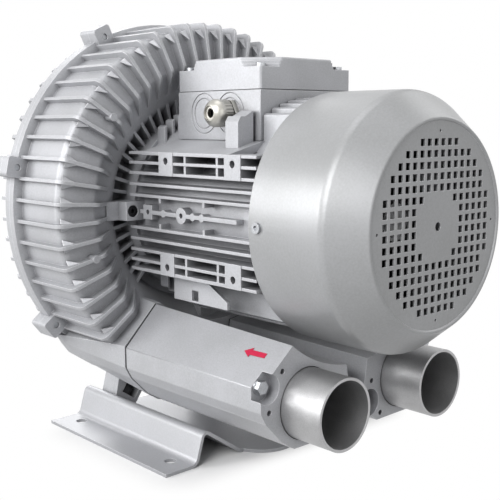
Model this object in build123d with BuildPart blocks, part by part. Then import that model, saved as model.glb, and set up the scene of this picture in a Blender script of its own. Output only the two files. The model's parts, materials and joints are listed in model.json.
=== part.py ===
"""Side channel blower with a flange motor, twin silencers and a sheet steel foot.

Millimetres, Z up. The origin is on the floor at the centre of the four foot holes. The motor
axis runs along Y, with the fan cowl at the negative end and the blower housing at the positive
end. X points to the right when the blower is seen from the fan cowl.
"""
import os
from math import cos, radians, sin, sqrt

from build123d import *

os.makedirs("parts", exist_ok=True)

# Motor axis and clearances
AXIS_Z = 288.0
FIT_GAP = 0.05
RUN_GAP = 0.4
HOLE_GAP = 0.5

# Stations along the motor axis
PARTING_Y = 79.0
RING_WIDTH = 40.5
SEAT_Y = -8.0
DISC_Y = 26.0
STATOR_LENGTH = 234.0
COWL_Y = -235.3
COWL_SKIRT = 95.6
COWL_BEVEL = 35.4

# Side channel and housing walls
CHANNEL_R = 168.0
CHANNEL_HALF = 42.0
WALL = 6.0
RIM_R = 228.0
RIM_WIDTH = 9.0
VALLEY_R = 217.0
VALLEY_CORNER_Y = -12.0
VALLEY_TOP_R = 172.0
VALLEY_TOP_Y = -18.0
VALLEY_FOOT_R = 150.0
SEAT_R = 111.0
STRIPPER_ARC = 36.0
COVER_WEB = 12.0
DOME_R = 44.0
DOME_DEPTH = 18.0

# Cooling ribs of both housing halves
RIB_T = 4.0
RIB_PITCH = 6.45
RIB_COUNT = 41
RIB_FIRST = -36.4
RIB_CREST_R = 224.0
RIB_CORNER_R = 9.0
REAR_RIB_CORNER_Y = -23.4
REAR_RIB_TOP_R = 173.0
REAR_RIB_TOP_Y = -29.7
RIB_FOOT_R = 146.4
RIB_FOOT_Y = -4.6
INNER_WEB_Y = 1.0
INNER_WEB_SEAT_Y = 8.0
RIB_BOSS_R = 4.5
RIB_BOSS_CIRCLE_R = 186.0
BOSSED_RIBS = (28, 36)
COVER_RIB_SIDE = 19.0
COVER_RIB_TOP_R = 182.0
COVER_RIB_TOP = 62.0
COVER_RIB_IN_R = 152.0
COVER_RIB_FOOT_R = 126.0

# Cover screw lugs on the rim
LUG_ANGLES = (218.4, 167.0, 115.4, 70.4, 12.8, 321.4)
LUG_HOLE_R = 229.2
LUG_TOP_R = 241.0
LUG_WIDTH = 24.0
LUG_REAR = 15.0
LUG_FRONT = 17.0
COVER_SCREW_R = 4.0
SPOT_FACE_R = 9.0
BELLY_SCREW_X = 62.0
BELLY_SCREW_Z = 77.0

# Port block below the housing, its outline at the root of the silencers and at the parting
ROOT_Y = -32.3
BLOCK_ROOT = ((101, 176), (146.5, 131), (146.5, 105), (138.5, 90.5), (116, 67), (99.5, 56.5), (82, 53))
BLOCK_RIM = ((112, 190), (168, 129), (160, 115.5), (150, 102), (116.5, 79), (101, 71.5), (85, 66))
BELLY_Z = 66.0
MOTOR_CLEAR_R = 146.0
SEAT_BOLT_CIRCLE_R = 124.0
SEAT_BOLT_R = 4.0
SEAT_GRIP = 22.0
SEAT_HEAD_R = 6.5
SEAT_HEAD = 8.0

# Sheet steel foot
FOOT_LENGTH = 248.0
FOOT_T = 4.0
FOOT_BEND = 8.0
FOOT_HALF = 158.2
FOOT_HEEL_X = 115.5
FOOT_CREST_X = 103.5
FOOT_CREST_Z = 44.0
FOOT_SOLE_X = 46.0
FOOT_HOLE_R = 7.0
FOOT_HOLES_X = 260.0
FOOT_HOLES_Y = 190.0
FOOT_TONGUE = 29.0

# Legs of the rear housing and their bolts
LEG_Y = 68.3
LEG_DEPTH = 32.8
LEG_TOP_Z = 65.2
LEG_ROOT_Z = 75.0
LEG_OUT_X = 92.7
LEG_OUT_TOP_X = 85.0
LEG_IN_X = 64.0
LEG_HEIGHT = 25.0
LEG_FLANGE = 8.0
LEG_BOLT_X = 78.0
LEG_BOLT_Y = 81.0
LEG_BOLT_R = 5.0
LEG_POCKET = 23.0

# Silencers and pipe stubs
PIPE_X = 79.4
PIPE_Z = 102.0
PIPE_R = 38.0
PIPE_WALL = 3.0
PIPE_REACH = 53.4
PIPE_GAP = 0.8
PIPE_COLLAR = 2.3
PIPE_STEP = 0.4
SILENCER_LENGTH = 231.2
SILENCER_WALL = 4.0
END_WALL = 12.0
RIDGE = (-100.5, 166.7)
RIDGE_RISE = 9.0
CORNER = (-145.3, 129.7)
SIDE_FOOT = (-145.0, 104.5)
CHINE = (-137.9, 91.5)
KEEL = (-115.5, 68.0)
BOTTOM = (-97.0, 56.5)
INNER_BOTTOM = (-36.0, 56.0)
INNER_FOOT = (-13.5, 72.0)
INNER_SIDE = (-13.0, 104.0)
INNER_TOP = (-17.0, 131.0)
EAR_R = 61.3
EAR_ANGLES = (154.8, -21.4)
EAR_POCKET_R = 15.6
EAR_POCKET_DEPTH = 14.0
DIMPLE_R = 3.0
DIMPLE_CIRCLE_R = 54.0
DIMPLE_STEP = 23.7
TIE_R = 4.0
TIE_GRIP = 22.0
FOAM_IN_R = 33.0
FOAM_OUT_R = 40.0
MESH_T = 1.2
PORT_R = 34.0
PORT_TOP = (78.0, 138.0)

# Stator frame
BARREL_R = 107.0
BORE_R = 98.5
FIN_TIP_X = 120.8
RAIL_T = 3.2
RAIL_OFFSETS = (68.1, 57.0, 45.0, 31.9, 19.0)
RAIL_START_Y = -14.0
FIN_PITCH = 12.0
FIN_T = 3.5
FIN_CIRCLE_R = 129.0
FIN_HALF_SPAN = 66.0
FIN_START_Y = -40.0
FIN_END_Y = -232.0
SHORT_FIN_R = 121.5
SHORT_FIN_HALF_SPAN = 72.0
SHORT_FIN_END_Y = -22.0
PAD_X = 121.8
PAD_Y = (-197.0, -85.0)
PAD_OFFSET = 60.0
PAD_WIDTH = 25.0
WEB_Y = (-171.3, -117.5)
STUB_Y = (-148.5, -71.0)
STUB_HEIGHT = 7.0
MIDDLE_RIB_X = 118.0
MIDDLE_RIB_T = 4.5
MIDDLE_RIB_Y = (-199.0, -30.0)
RIB_BOSSES = ((-106.5, 9.0), (-74.0, 4.2), (-126.5, 4.2), (-142.0, 4.2))
SQUARE_BOSS_Y = -44.5
SQUARE_BOSS = 16.5
PAD_HOLE_R = 4.0
PAD_HOLE_DEPTH = 14.0
SHOULDER_Y = -40.0
SHOULDER_LENGTH = 150.0
SHOULDER_OUTLINE = ((120.8, 66.0), (120.8, 69.7), (72.2, 82.5), (60.0, 82.5), (60.0, 77.0), (100.0, 66.0))
FLANK_X = 102.0
FLANK_T = 4.0
FLANK_OUTLINE = ((-72, 220), (-72, 188), (-165, 188), (-165, 196), (-120, 220))
FLANK_WINDOW = 12.0
FLANK_WINDOW_Y = -110.0
FLANK_WINDOW_Z = 196.0
POST_Y = -160.0
POST_LENGTH = 20.0
POST_OUTLINE = ((-98, 350), (-98, 391), (-94, 397), (-88, 397), (-76, 403), (-76, 350))
FLANGE_LUG_TOP_R = 133.5
FLANGE_LUG_WIDTH = 22.0
FLANGE_T = 16.0
COUNTERBORE = 8.6
COUNTERBORE_R = 7.2
SHIELD_SPIGOT = 12.0
SHIELD_BOSS_R = 8.5
SHIELD_SCREW_R = 3.0

# Terminal box
BOX_Y = -116.5
BOX_SIZE = 142.4
BOX_LENGTH = 139.7
BOX_WALL = 4.0
BOX_FLOOR_Z = 371.0
BOX_SEAM_Z = 425.0
LID_EDGE_Z = 449.4
LID_TOP_Z = 460.0
GASKET_T = 1.5
LID_GASKET_T = 0.8
LID_GASKET_INSET = 1.5
GLAND_Y = -137.5
GLAND_Z = 400.4
KNOCKOUT_Y = -92.9
GLAND_REACH = 30.3
GLAND_R = 15.0
GLAND_THREAD_R = 10.0
GLAND_NECK_R = 12.5
GLAND_BASE = 6.0
GLAND_CAP_START = 8.0
GLAND_DOME_START = 18.0
GLAND_MOUTH_R = 8.0
GLAND_MOUTH = 2.0
GLAND_LIP = 4.5
GLAND_GROOVES = 24
GLAND_GROOVE_R = 0.7
GLAND_NUT_T = 5.0
CABLE_R = 5.0
KNOCKOUT_R = 23.0
KNOCKOUT_STEP = 5.5
KNOCKOUT_LINE = 1.4
LID_CUT = 28.0
LID_TAPER = 32.0
LID_SCREW_X = 122.0
LID_SCREW_Y = 119.0
LID_SCREW_R = 2.5
LID_SCREW_LENGTH = 40.0
LID_POST_R = 7.0
BOARD_SIZE = (70.0, 44.0, 9.0)
BOARD_PITCH = 22.0
STUD_R = 2.5
STUD_LENGTH = 16.0
BOX_SCREW_R = 3.0
BOX_SCREW_Y = 54.0
LEAD_HOLE_R = 9.0
LEAD_HOLE_OFFSET = 36.0

# Fan cowl
COWL_R = 134.6
COWL_T = 2.0
BEAD_R = 104.5
GRILLE_PITCH = 11.05
GRILLE_HOLE = 7.0
GRILLE_BLANK = 3.2
GRILLE_SPAN = 8.1
COWL_SCREW_ANGLES = (180.0, 60.0, 300.0)
COWL_SCREW_R = 2.5
COWL_SCREW_LENGTH = 14.0
COWL_BOSS_WIDTH = 14.0
COWL_CENTRE_R = 4.5
COWL_PIN_R = 1.5
COWL_PIN_CIRCLE_R = 94.0
BEAD_T = 2.5
BEAD_HEIGHT = 1.6

# Rotating parts
SHAFT_R = 19.0
SLEEVE_R = 26.0
SEAL_R = 36.0
SEAL_T = 8.0
BEARING_R = 20.0
DRIVE_BEARING_R = 45.0
DRIVE_BEARING_T = 23.0
DRIVE_BEARING_Y = -21.0
FAN_BEARING_R = 40.0
FAN_BEARING_T = 18.0
FAN_BEARING_Y = -260.0
FAN_SEAT_R = 16.0
SHAFT_TAIL_Y = -314.0
HUB_R = 34.0
HUB_LENGTH = 30.0
KEY_WIDTH = 10.0
KEY_HEIGHT = 8.0
KEY_LENGTH = 28.0
END_BOLT_R = 6.0
END_BOLT_GRIP = 28.0
VANE_ROOT_R = 128.0
VANE_TIP_R = 208.0
SLOT_COUNT = 24
SLOT_IN_R = 65.0
SLOT_OUT_R = 88.0
SLOT_WIDTH = 9.0
WINDING_HEAD = 25.0
CAGE_BARS = 20
CAGE_BAR = 7.0
CAGE_BAR_R = 53.0
CAGE_RING = 10.0
CORE_SHAFT_R = 24.0
AIR_GAP = 0.6
CORE_BORE_R = 62.0
CORE_LENGTH = 150.0
CORE_Y = -205.0
VANE_COUNT = 30
VANE_T = 3.0
FAN_R = 112.0
FAN_BLADES = 8
FAN_Y = -310.0
FAN_HUB_R = 27.0
FAN_HUB_LENGTH = 40.0

MOTOR_AXIS = Axis((0, 0, AXIS_Z), (0, 1, 0))
STATOR_Y = SEAT_Y - STATOR_LENGTH
COVER_Y = PARTING_Y + RIM_WIDTH
CHANNEL_Y = PARTING_Y - RING_WIDTH
CREASE_Y = COWL_Y - COWL_SKIRT
BEAD_Y = CREASE_Y - COWL_BEVEL
SHIELD_Y = STATOR_Y - 12.0
END_Y = ROOT_Y - SILENCER_LENGTH
VALLEY_FOOT_Y = CHANNEL_Y - sqrt((CHANNEL_HALF + WALL) ** 2 - (CHANNEL_R - VALLEY_FOOT_R) ** 2)
PAD_MID = (RAIL_OFFSETS[0] + RAIL_OFFSETS[2]) / 2
PAD_HEIGHT = RAIL_OFFSETS[0] - RAIL_OFFSETS[2] + RAIL_T


def across(y):
    """Sketch plane square to the motor axis: local x is X, local y is Z, extrusion runs to the cowl."""
    return Plane.XZ.offset(-y)


def meridian(angle):
    """Sketch plane through the motor axis: local x is the radius, local y runs along the axis."""
    c, s = cos(radians(angle)), sin(radians(angle))
    return Plane(origin=(0, 0, AXIS_Z), x_dir=(c, 0, s), z_dir=(-s, 0, c))


def radial(angle, y, r):
    """Plane facing away from the motor axis at a radius: its normal is the outward direction."""
    c, s = cos(radians(angle)), sin(radians(angle))
    return Plane(origin=(r * c, y, AXIS_Z + r * s), x_dir=(0, 1, 0), z_dir=(c, 0, s))


def on_circle(r, angle, z=AXIS_Z, x=0.0):
    """Point of a circle in a sketch plane square to the motor axis."""
    return (x + r * cos(radians(angle)), z + r * sin(radians(angle)))


def mirrored(points):
    """Closed outline from its right half: the half itself and its mirror image."""
    return [*points, *[(-x, z) for x, z in reversed(points)]]


def turned(points):
    """Solid of revolution about the motor axis from (radius, station) points."""
    with BuildPart() as body:
        with BuildSketch(meridian(0)):
            with BuildLine():
                Polyline(*points, close=True)
            make_face()
        revolve(axis=MOTOR_AXIS)
    return body.part


def ring(r_in, r_out, y_low, y_high):
    """Plain ring about the motor axis between two stations."""
    return turned([(r_in, y_low), (r_out, y_low), (r_out, y_high), (r_in, y_high)])


def hex_bolt(plane, shank_r, length, flats, head, washer_r):
    """Hexagon bolt with a washer face: the head stands on the plane and the shank goes below it."""
    washer_t = shank_r * 0.4
    with BuildPart() as bolt:
        with BuildSketch(plane):
            Circle(washer_r)
        extrude(amount=washer_t)
        with BuildSketch(plane.offset(washer_t)):
            RegularPolygon(radius=flats / 2, side_count=6, major_radius=False)
        extrude(amount=head)
        with BuildSketch(plane):
            Circle(shank_r)
        extrude(amount=-length)
    return bolt.part


def cap_screw(plane, shank_r, length, head_r, head):
    """Round headed screw with a hexagon socket: the head stands on the plane."""
    with BuildPart() as screw:
        with BuildSketch(plane):
            Circle(head_r)
        extrude(amount=head)
        with BuildSketch(plane.offset(head)):
            RegularPolygon(radius=head_r * 0.5, side_count=6)
        extrude(amount=-head * 0.6, mode=Mode.SUBTRACT)
        with BuildSketch(plane):
            Circle(shank_r)
        extrude(amount=-length)
    return screw.part


def save(builder, label):
    """Label a finished piece and write its STEP file."""
    builder.part.label = label
    export_step(builder.part, f"parts/{label}.step")


def facing(sign, x, y, z):
    """Plane square to the motor axis whose normal points to the cover (+1) or the cowl (-1)."""
    return Plane(origin=(x, y, z), x_dir=(1, 0, 0), z_dir=(0, sign, 0))


def sideways(side, x, y, z):
    """Plane square to X whose normal points away from the middle on the given side."""
    return Plane(origin=(side * x, y, z), x_dir=(0, side, 0), z_dir=(side, 0, 0))


# Foot: one bent sheet with two crests that carry the legs
FOOT_PROFILE = (
    (FOOT_HALF, FOOT_T),
    (FOOT_HEEL_X, FOOT_T),
    (FOOT_CREST_X, FOOT_CREST_Z),
    (FOOT_SOLE_X, FOOT_T),
)
FLANK_RUN = FOOT_CREST_X - FOOT_SOLE_X
FLANK_DROP = FOOT_CREST_Z - FOOT_T
FLANK_LENGTH = sqrt(FLANK_RUN**2 + FLANK_DROP**2)


def flank_z(x):
    """Height of the inner flank of a crest above the floor at a distance from the middle."""
    return FOOT_T + (x - FOOT_SOLE_X) * FLANK_DROP / FLANK_RUN


def flank(side, lift=0.0):
    """Plane at a leg bolt on the inner flank of a crest, with its normal away from the sheet."""
    normal = Vector(-side * FLANK_DROP, 0, FLANK_RUN).normalized()
    origin = Vector(side * LEG_BOLT_X, LEG_BOLT_Y, flank_z(LEG_BOLT_X)) + normal * lift
    return Plane(origin=origin, x_dir=(0, 1, 0), z_dir=normal)


with BuildPart() as foot_bracket:
    with BuildSketch(across(FOOT_LENGTH / 2)):
        with BuildLine():
            FilletPolyline(*mirrored(FOOT_PROFILE), radius=FOOT_BEND)
            offset(amount=FOOT_T, side=Side.LEFT)
        make_face()
    extrude(amount=FOOT_LENGTH)
    tongue_root = FOOT_SOLE_X - FOOT_BEND / 2
    with BuildSketch(Plane.XY):
        with BuildLine():
            ThreePointArc(
                (-tongue_root, -FOOT_LENGTH / 2),
                (0, -FOOT_LENGTH / 2 - FOOT_TONGUE),
                (tongue_root, -FOOT_LENGTH / 2),
            )
            Line((tongue_root, -FOOT_LENGTH / 2), (-tongue_root, -FOOT_LENGTH / 2))
        make_face()
    extrude(amount=FOOT_T)
    with Locations((0, 0, FOOT_T)):
        with GridLocations(FOOT_HOLES_X, FOOT_HOLES_Y, 2, 2):
            Hole(FOOT_HOLE_R, FOOT_T)
    with BuildSketch(flank(-1), flank(1)):
        Circle(LEG_BOLT_R + HOLE_GAP)
    extrude(amount=FOOT_T * 2, both=True, mode=Mode.SUBTRACT)
save(foot_bracket, "foot_bracket")

with BuildPart() as foot_bolts:
    for side in (-1, 1):
        under = flank(side, -FOOT_T)
        below = Plane(origin=under.origin, x_dir=under.x_dir, z_dir=-under.z_dir)
        add(hex_bolt(below, LEG_BOLT_R, FOOT_T + LEG_FLANGE + 14, 16.0, 6.0, 9.5))
save(foot_bolts, "foot_bolts")

with BuildPart() as foot_nuts:
    with BuildSketch(flank(-1, LEG_FLANGE), flank(1, LEG_FLANGE)):
        Circle(10.0)
        Circle(LEG_BOLT_R + FIT_GAP, mode=Mode.SUBTRACT)
    extrude(amount=2.0)
    with BuildSketch(flank(-1, LEG_FLANGE + 2), flank(1, LEG_FLANGE + 2)):
        RegularPolygon(radius=8.5, side_count=6, major_radius=False)
        Circle(LEG_BOLT_R + FIT_GAP, mode=Mode.SUBTRACT)
    extrude(amount=8.0)
save(foot_nuts, "foot_nuts")

# Places shared by the castings
OUTER_R = CHANNEL_HALF + WALL
CAVITY_R = CHANNEL_R + CHANNEL_HALF
RIB_ANGLES = [RIB_FIRST + RIB_PITCH * i for i in range(RIB_COUNT)]
RIM_REAR_Y = PARTING_Y - RIM_WIDTH
LUG_SPOTS = [Location((*on_circle((VALLEY_R + LUG_TOP_R) / 2, a), 0), (0, 0, a)) for a in LUG_ANGLES]
LUG_HOLES = [on_circle(LUG_HOLE_R, a) for a in LUG_ANGLES]
BELLY_HOLES = [(-BELLY_SCREW_X, BELLY_SCREW_Z), (BELLY_SCREW_X, BELLY_SCREW_Z)]
EARS = [on_circle(EAR_R, a, PIPE_Z, -PIPE_X) for a in EAR_ANGLES]
TIE_SPOTS = [*EARS, *[(-x, z) for x, z in EARS]]
SEAT_ANGLES = (0, 90, 180, 270)


def leg_outline(side, top_z):
    """Leg section from the flank of the foot up to a height."""
    flank_up = Vector(-FLANK_DROP, FLANK_RUN).normalized() * LEG_HEIGHT
    heel = (LEG_IN_X, flank_z(LEG_IN_X))
    knee = (heel[0] + flank_up.X, heel[1] + flank_up.Y)
    points = [
        (LEG_OUT_X, flank_z(LEG_OUT_X)),
        (LEG_OUT_TOP_X, top_z),
        (knee[0], top_z),
        knee,
        heel,
    ]
    return [(side * x, z) for x, z in points]


# Rear housing: half of the side channel, the port block, the motor seat, ribs, lugs and legs
with BuildPart() as rear_housing:
    with BuildSketch(across(PARTING_Y)):
        with BuildLine():
            Polyline(*mirrored(BLOCK_RIM), close=True)
        make_face()
    with BuildSketch(across(ROOT_Y)):
        with BuildLine():
            Polyline(*mirrored(BLOCK_ROOT), close=True)
        make_face()
    loft()
    with BuildSketch(across(DISC_Y)):
        with Locations((0, AXIS_Z)):
            Circle(MOTOR_CLEAR_R)
    extrude(amount=DISC_Y - ROOT_Y + 1, mode=Mode.SUBTRACT)
    with BuildSketch(meridian(0)):
        with BuildLine():
            disc_r = CHANNEL_R - sqrt(OUTER_R**2 - (CHANNEL_Y - DISC_Y) ** 2)
            FilletPolyline(
                (VALLEY_R, RIM_REAR_Y - 2),
                (VALLEY_R, VALLEY_CORNER_Y),
                (VALLEY_TOP_R, VALLEY_TOP_Y),
                (VALLEY_FOOT_R, VALLEY_FOOT_Y),
                radius=RIB_CORNER_R,
            )
            middle_r = (VALLEY_FOOT_R + disc_r) / 2
            ThreePointArc(
                (VALLEY_FOOT_R, VALLEY_FOOT_Y),
                (middle_r, CHANNEL_Y - sqrt(OUTER_R**2 - (CHANNEL_R - middle_r) ** 2)),
                (disc_r, DISC_Y),
            )
            Polyline(
                (disc_r, DISC_Y),
                (SLEEVE_R + 3, DISC_Y),
                (SLEEVE_R + 3, PARTING_Y),
                (RIM_R, PARTING_Y),
                (RIM_R, RIM_REAR_Y),
                (VALLEY_R, RIM_REAR_Y - 2),
            )
        make_face()
    revolve(axis=MOTOR_AXIS)
    with Locations((0, PARTING_Y, BELLY_Z)):
        Box(
            2 * RIM_R,
            3 * RIM_WIDTH,
            2 * WALL,
            align=(Align.CENTER, Align.CENTER, Align.MAX),
            mode=Mode.SUBTRACT,
        )
    add(ring(BORE_R, SEAT_R, SEAT_Y, DISC_Y + 1))
    with BuildSketch(across(DISC_Y + 1)):
        with Locations((0, AXIS_Z)):
            with PolarLocations((BARREL_R + VALLEY_FOOT_R) / 2, 4):
                Rectangle(VALLEY_FOOT_R - BARREL_R, FLANGE_LUG_WIDTH)
    extrude(amount=DISC_Y + 1 - SEAT_Y)
    with BuildSketch(*[meridian(angle) for angle in RIB_ANGLES]):
        with BuildLine():
            FilletPolyline(
                (RIB_CREST_R, RIM_REAR_Y + 1),
                (RIB_CREST_R, REAR_RIB_CORNER_Y),
                (REAR_RIB_TOP_R, REAR_RIB_TOP_Y),
                (RIB_FOOT_R, RIB_FOOT_Y),
                radius=RIB_CORNER_R,
            )
            Polyline(
                (RIB_FOOT_R, RIB_FOOT_Y),
                (RIB_FOOT_R - 1, INNER_WEB_Y),
                (SEAT_R - 1, INNER_WEB_SEAT_Y),
                (SEAT_R - 1, DISC_Y + 1),
                (disc_r, DISC_Y + 1),
                (CHANNEL_R, CHANNEL_Y - CHANNEL_HALF / 2),
                (CAVITY_R, CHANNEL_Y + 2),
                (CAVITY_R, RIM_REAR_Y + 1),
                (RIB_CREST_R, RIM_REAR_Y + 1),
            )
        make_face()
    extrude(amount=RIB_T / 2, both=True)
    with BuildSketch(across(VALLEY_TOP_Y)):
        with Locations(*[on_circle(RIB_BOSS_CIRCLE_R, RIB_ANGLES[i]) for i in BOSSED_RIBS]):
            Circle(RIB_BOSS_R)
    extrude(amount=VALLEY_TOP_Y - REAR_RIB_TOP_Y)
    with BuildSketch(across(PARTING_Y)):
        with Locations(*LUG_SPOTS):
            RectangleRounded(LUG_TOP_R - VALLEY_R + 2, LUG_WIDTH, 4)
    extrude(amount=LUG_REAR)
    for side in (-1, 1):
        with BuildSketch(across(PARTING_Y)):
            with BuildLine():
                Polyline(*leg_outline(side, LEG_ROOT_Z), close=True)
            make_face()
        extrude(amount=PARTING_Y - LEG_Y)
        with BuildSketch(across(LEG_Y + LEG_DEPTH)):
            with BuildLine():
                Polyline(*leg_outline(side, LEG_TOP_Z), close=True)
            make_face()
        extrude(amount=LEG_Y + LEG_DEPTH - PARTING_Y)
        with BuildSketch(flank(side, LEG_FLANGE)):
            pocket_end = LEG_BOLT_Y + LEG_POCKET / 2
            with Locations(((LEG_Y - 1 + pocket_end) / 2 - LEG_BOLT_Y, 0)):
                Rectangle(pocket_end - LEG_Y + 1, LEG_POCKET)
        extrude(amount=LEG_POCKET, mode=Mode.SUBTRACT)
    with BuildSketch(flank(-1), flank(1)):
        Circle(LEG_BOLT_R + HOLE_GAP)
    extrude(amount=LEG_FLANGE + 1, mode=Mode.SUBTRACT)
    with BuildSketch(across(PARTING_Y)):
        with Locations((0, AXIS_Z)):
            Circle(CAVITY_R)
    extrude(amount=RING_WIDTH + RUN_GAP, mode=Mode.SUBTRACT)
    with BuildSketch(meridian(270 - STRIPPER_ARC / 2)):
        with Locations((CHANNEL_R, CHANNEL_Y)):
            Circle(CHANNEL_HALF)
    revolve(axis=MOTOR_AXIS, revolution_arc=360 - STRIPPER_ARC, mode=Mode.SUBTRACT)
    with BuildSketch(across(DISC_Y + SEAL_T)):
        with Locations((0, AXIS_Z)):
            Circle(SEAL_R)
    extrude(amount=SEAL_T + 1, mode=Mode.SUBTRACT)
    for side in (-1, 1):
        with BuildSketch(across(ROOT_Y)):
            with Locations((side * PIPE_X, PIPE_Z)):
                Circle(PORT_R)
        with BuildSketch(across(CHANNEL_Y)):
            with Locations((side * PORT_TOP[0], PORT_TOP[1])):
                Circle(PORT_R)
        loft(mode=Mode.SUBTRACT)
    with BuildSketch(across(PARTING_Y)):
        with Locations(*LUG_HOLES, *BELLY_HOLES):
            Circle(COVER_SCREW_R + FIT_GAP)
    extrude(amount=LUG_REAR + 1, mode=Mode.SUBTRACT)
    with BuildSketch(across(ROOT_Y + TIE_GRIP)):
        with Locations(*TIE_SPOTS):
            Circle(TIE_R + FIT_GAP)
    extrude(amount=TIE_GRIP + 1, mode=Mode.SUBTRACT)
    with BuildSketch(across(SEAT_Y + SEAT_GRIP)):
        with Locations(*[on_circle(SEAT_BOLT_CIRCLE_R, a) for a in SEAT_ANGLES]):
            Circle(SEAT_BOLT_R + FIT_GAP)
    extrude(amount=SEAT_GRIP + 1, mode=Mode.SUBTRACT)
save(rear_housing, "rear_housing")

# Front cover: the other half of the channel with its ribs, a flat web and the hub dome
with BuildPart() as front_cover:
    with BuildSketch(across(COVER_Y)):
        with Locations((0, AXIS_Z)):
            Circle(RIM_R)
        with BuildLine():
            Polyline(*mirrored(BLOCK_RIM), close=True)
        make_face()
    extrude(amount=RIM_WIDTH)
    with BuildSketch(meridian(0)):
        with BuildLine():
            web_r = CHANNEL_R - sqrt(OUTER_R**2 - COVER_WEB**2)
            Polyline(
                (web_r, PARTING_Y + COVER_WEB),
                (DOME_R + WALL, PARTING_Y + COVER_WEB),
                (DOME_R, PARTING_Y + DOME_DEPTH + WALL),
                (0, PARTING_Y + DOME_DEPTH + WALL),
                (0, PARTING_Y),
                (CHANNEL_R + OUTER_R, PARTING_Y),
            )
            ThreePointArc(
                (web_r, PARTING_Y + COVER_WEB),
                (CHANNEL_R, PARTING_Y + OUTER_R),
                (CHANNEL_R + OUTER_R, PARTING_Y),
            )
        make_face()
    revolve(axis=MOTOR_AXIS)
    with Locations((0, PARTING_Y, BELLY_Z)):
        Box(
            2 * RIM_R,
            3 * RIM_WIDTH,
            2 * WALL,
            align=(Align.CENTER, Align.CENTER, Align.MAX),
            mode=Mode.SUBTRACT,
        )
    with BuildSketch(*[meridian(angle) for angle in RIB_ANGLES]):
        with BuildLine():
            FilletPolyline(
                (RIB_CREST_R, COVER_Y - 1),
                (RIB_CREST_R, COVER_Y + COVER_RIB_SIDE),
                (COVER_RIB_TOP_R, PARTING_Y + COVER_RIB_TOP),
                (COVER_RIB_IN_R, PARTING_Y + COVER_RIB_TOP),
                (COVER_RIB_FOOT_R, PARTING_Y + OUTER_R / 2),
                radius=RIB_CORNER_R,
            )
            Polyline(
                (COVER_RIB_FOOT_R, PARTING_Y + OUTER_R / 2),
                (CHANNEL_R, PARTING_Y + CHANNEL_HALF / 2),
                (CAVITY_R, COVER_Y - 1),
                (RIB_CREST_R, COVER_Y - 1),
            )
        make_face()
    extrude(amount=RIB_T / 2, both=True)
    with BuildSketch(*[meridian(angle) for angle in range(0, 360, 45)]):
        with BuildLine():
            Polyline(
                (DOME_R - 4, PARTING_Y + WALL),
                (web_r + 4, PARTING_Y + WALL),
                (web_r + 4, PARTING_Y + COVER_WEB + 12),
                (DOME_R - 4, PARTING_Y + DOME_DEPTH),
                close=True,
            )
        make_face()
    extrude(amount=RIB_T / 2, both=True)
    with BuildSketch(across(PARTING_Y + LUG_FRONT)):
        with Locations(*LUG_SPOTS):
            RectangleRounded(LUG_TOP_R - VALLEY_R + 2, LUG_WIDTH, 4)
    extrude(amount=LUG_FRONT)
    with BuildSketch(meridian(270 - STRIPPER_ARC / 2)):
        with Locations((CHANNEL_R, PARTING_Y)):
            Circle(CHANNEL_HALF)
    revolve(axis=MOTOR_AXIS, revolution_arc=360 - STRIPPER_ARC, mode=Mode.SUBTRACT)
    with BuildSketch(across(PARTING_Y + DOME_DEPTH)):
        with Locations((0, AXIS_Z)):
            Circle(DOME_R - WALL)
    extrude(amount=DOME_DEPTH + 1, mode=Mode.SUBTRACT)
    with BuildSketch(across(PARTING_Y + LUG_FRONT)):
        with Locations(*LUG_HOLES, *BELLY_HOLES):
            Circle(COVER_SCREW_R + HOLE_GAP)
    extrude(amount=LUG_FRONT + 1, mode=Mode.SUBTRACT)
    for y, spots in ((PARTING_Y + LUG_FRONT, LUG_HOLES), (COVER_Y, BELLY_HOLES)):
        with BuildSketch(across(y + COVER_RIB_TOP)):
            with Locations(*spots):
                Circle(SPOT_FACE_R)
        extrude(amount=COVER_RIB_TOP, mode=Mode.SUBTRACT)
save(front_cover, "front_cover")

with BuildPart() as cover_screws:
    for x, z in LUG_HOLES:
        add(hex_bolt(facing(1, x, PARTING_Y + LUG_FRONT, z), COVER_SCREW_R, LUG_FRONT + 13, 13, 5.3, 8))
    for x, z in BELLY_HOLES:
        add(hex_bolt(facing(1, x, COVER_Y, z), COVER_SCREW_R, RIM_WIDTH + 12, 13, 5.3, 8))
save(cover_screws, "cover_screws")

# Impeller and its fastening on the shaft end
HUB_Y = PARTING_Y - RING_WIDTH + 1.5
SHAFT_END_Y = HUB_Y + HUB_LENGTH - 0.5

with BuildPart() as impeller:
    add(ring(SHAFT_R + FIT_GAP, HUB_R, HUB_Y, HUB_Y + HUB_LENGTH))
    add(ring(HUB_R - 1, VANE_ROOT_R, CHANNEL_Y + 14, CHANNEL_Y + 24))
    add(ring(VANE_ROOT_R - 6, VANE_ROOT_R, CHANNEL_Y, PARTING_Y - RUN_GAP))
    add(ring(VANE_ROOT_R - 1, VANE_TIP_R, CHANNEL_Y + 18, CHANNEL_Y + 22))
    with BuildSketch(*[meridian(360 / VANE_COUNT * i) for i in range(VANE_COUNT)]):
        with BuildLine():
            Polyline(
                (VANE_ROOT_R - 1, CHANNEL_Y),
                (VANE_TIP_R, CHANNEL_Y),
                (VANE_TIP_R, PARTING_Y - RUN_GAP),
                (VANE_ROOT_R - 1, PARTING_Y - RUN_GAP),
                close=True,
            )
        make_face()
    extrude(amount=VANE_T / 2, both=True)
    with Locations((0, HUB_Y + HUB_LENGTH / 2, AXIS_Z + SHAFT_R)):
        Box(KEY_WIDTH, HUB_LENGTH + 2, KEY_HEIGHT, mode=Mode.SUBTRACT)
save(impeller, "impeller")

with BuildPart() as impeller_key:
    with Locations((0, HUB_Y + KEY_LENGTH / 2, AXIS_Z + SHAFT_R)):
        Box(KEY_WIDTH, KEY_LENGTH, KEY_HEIGHT)
save(impeller_key, "impeller_key")

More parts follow.
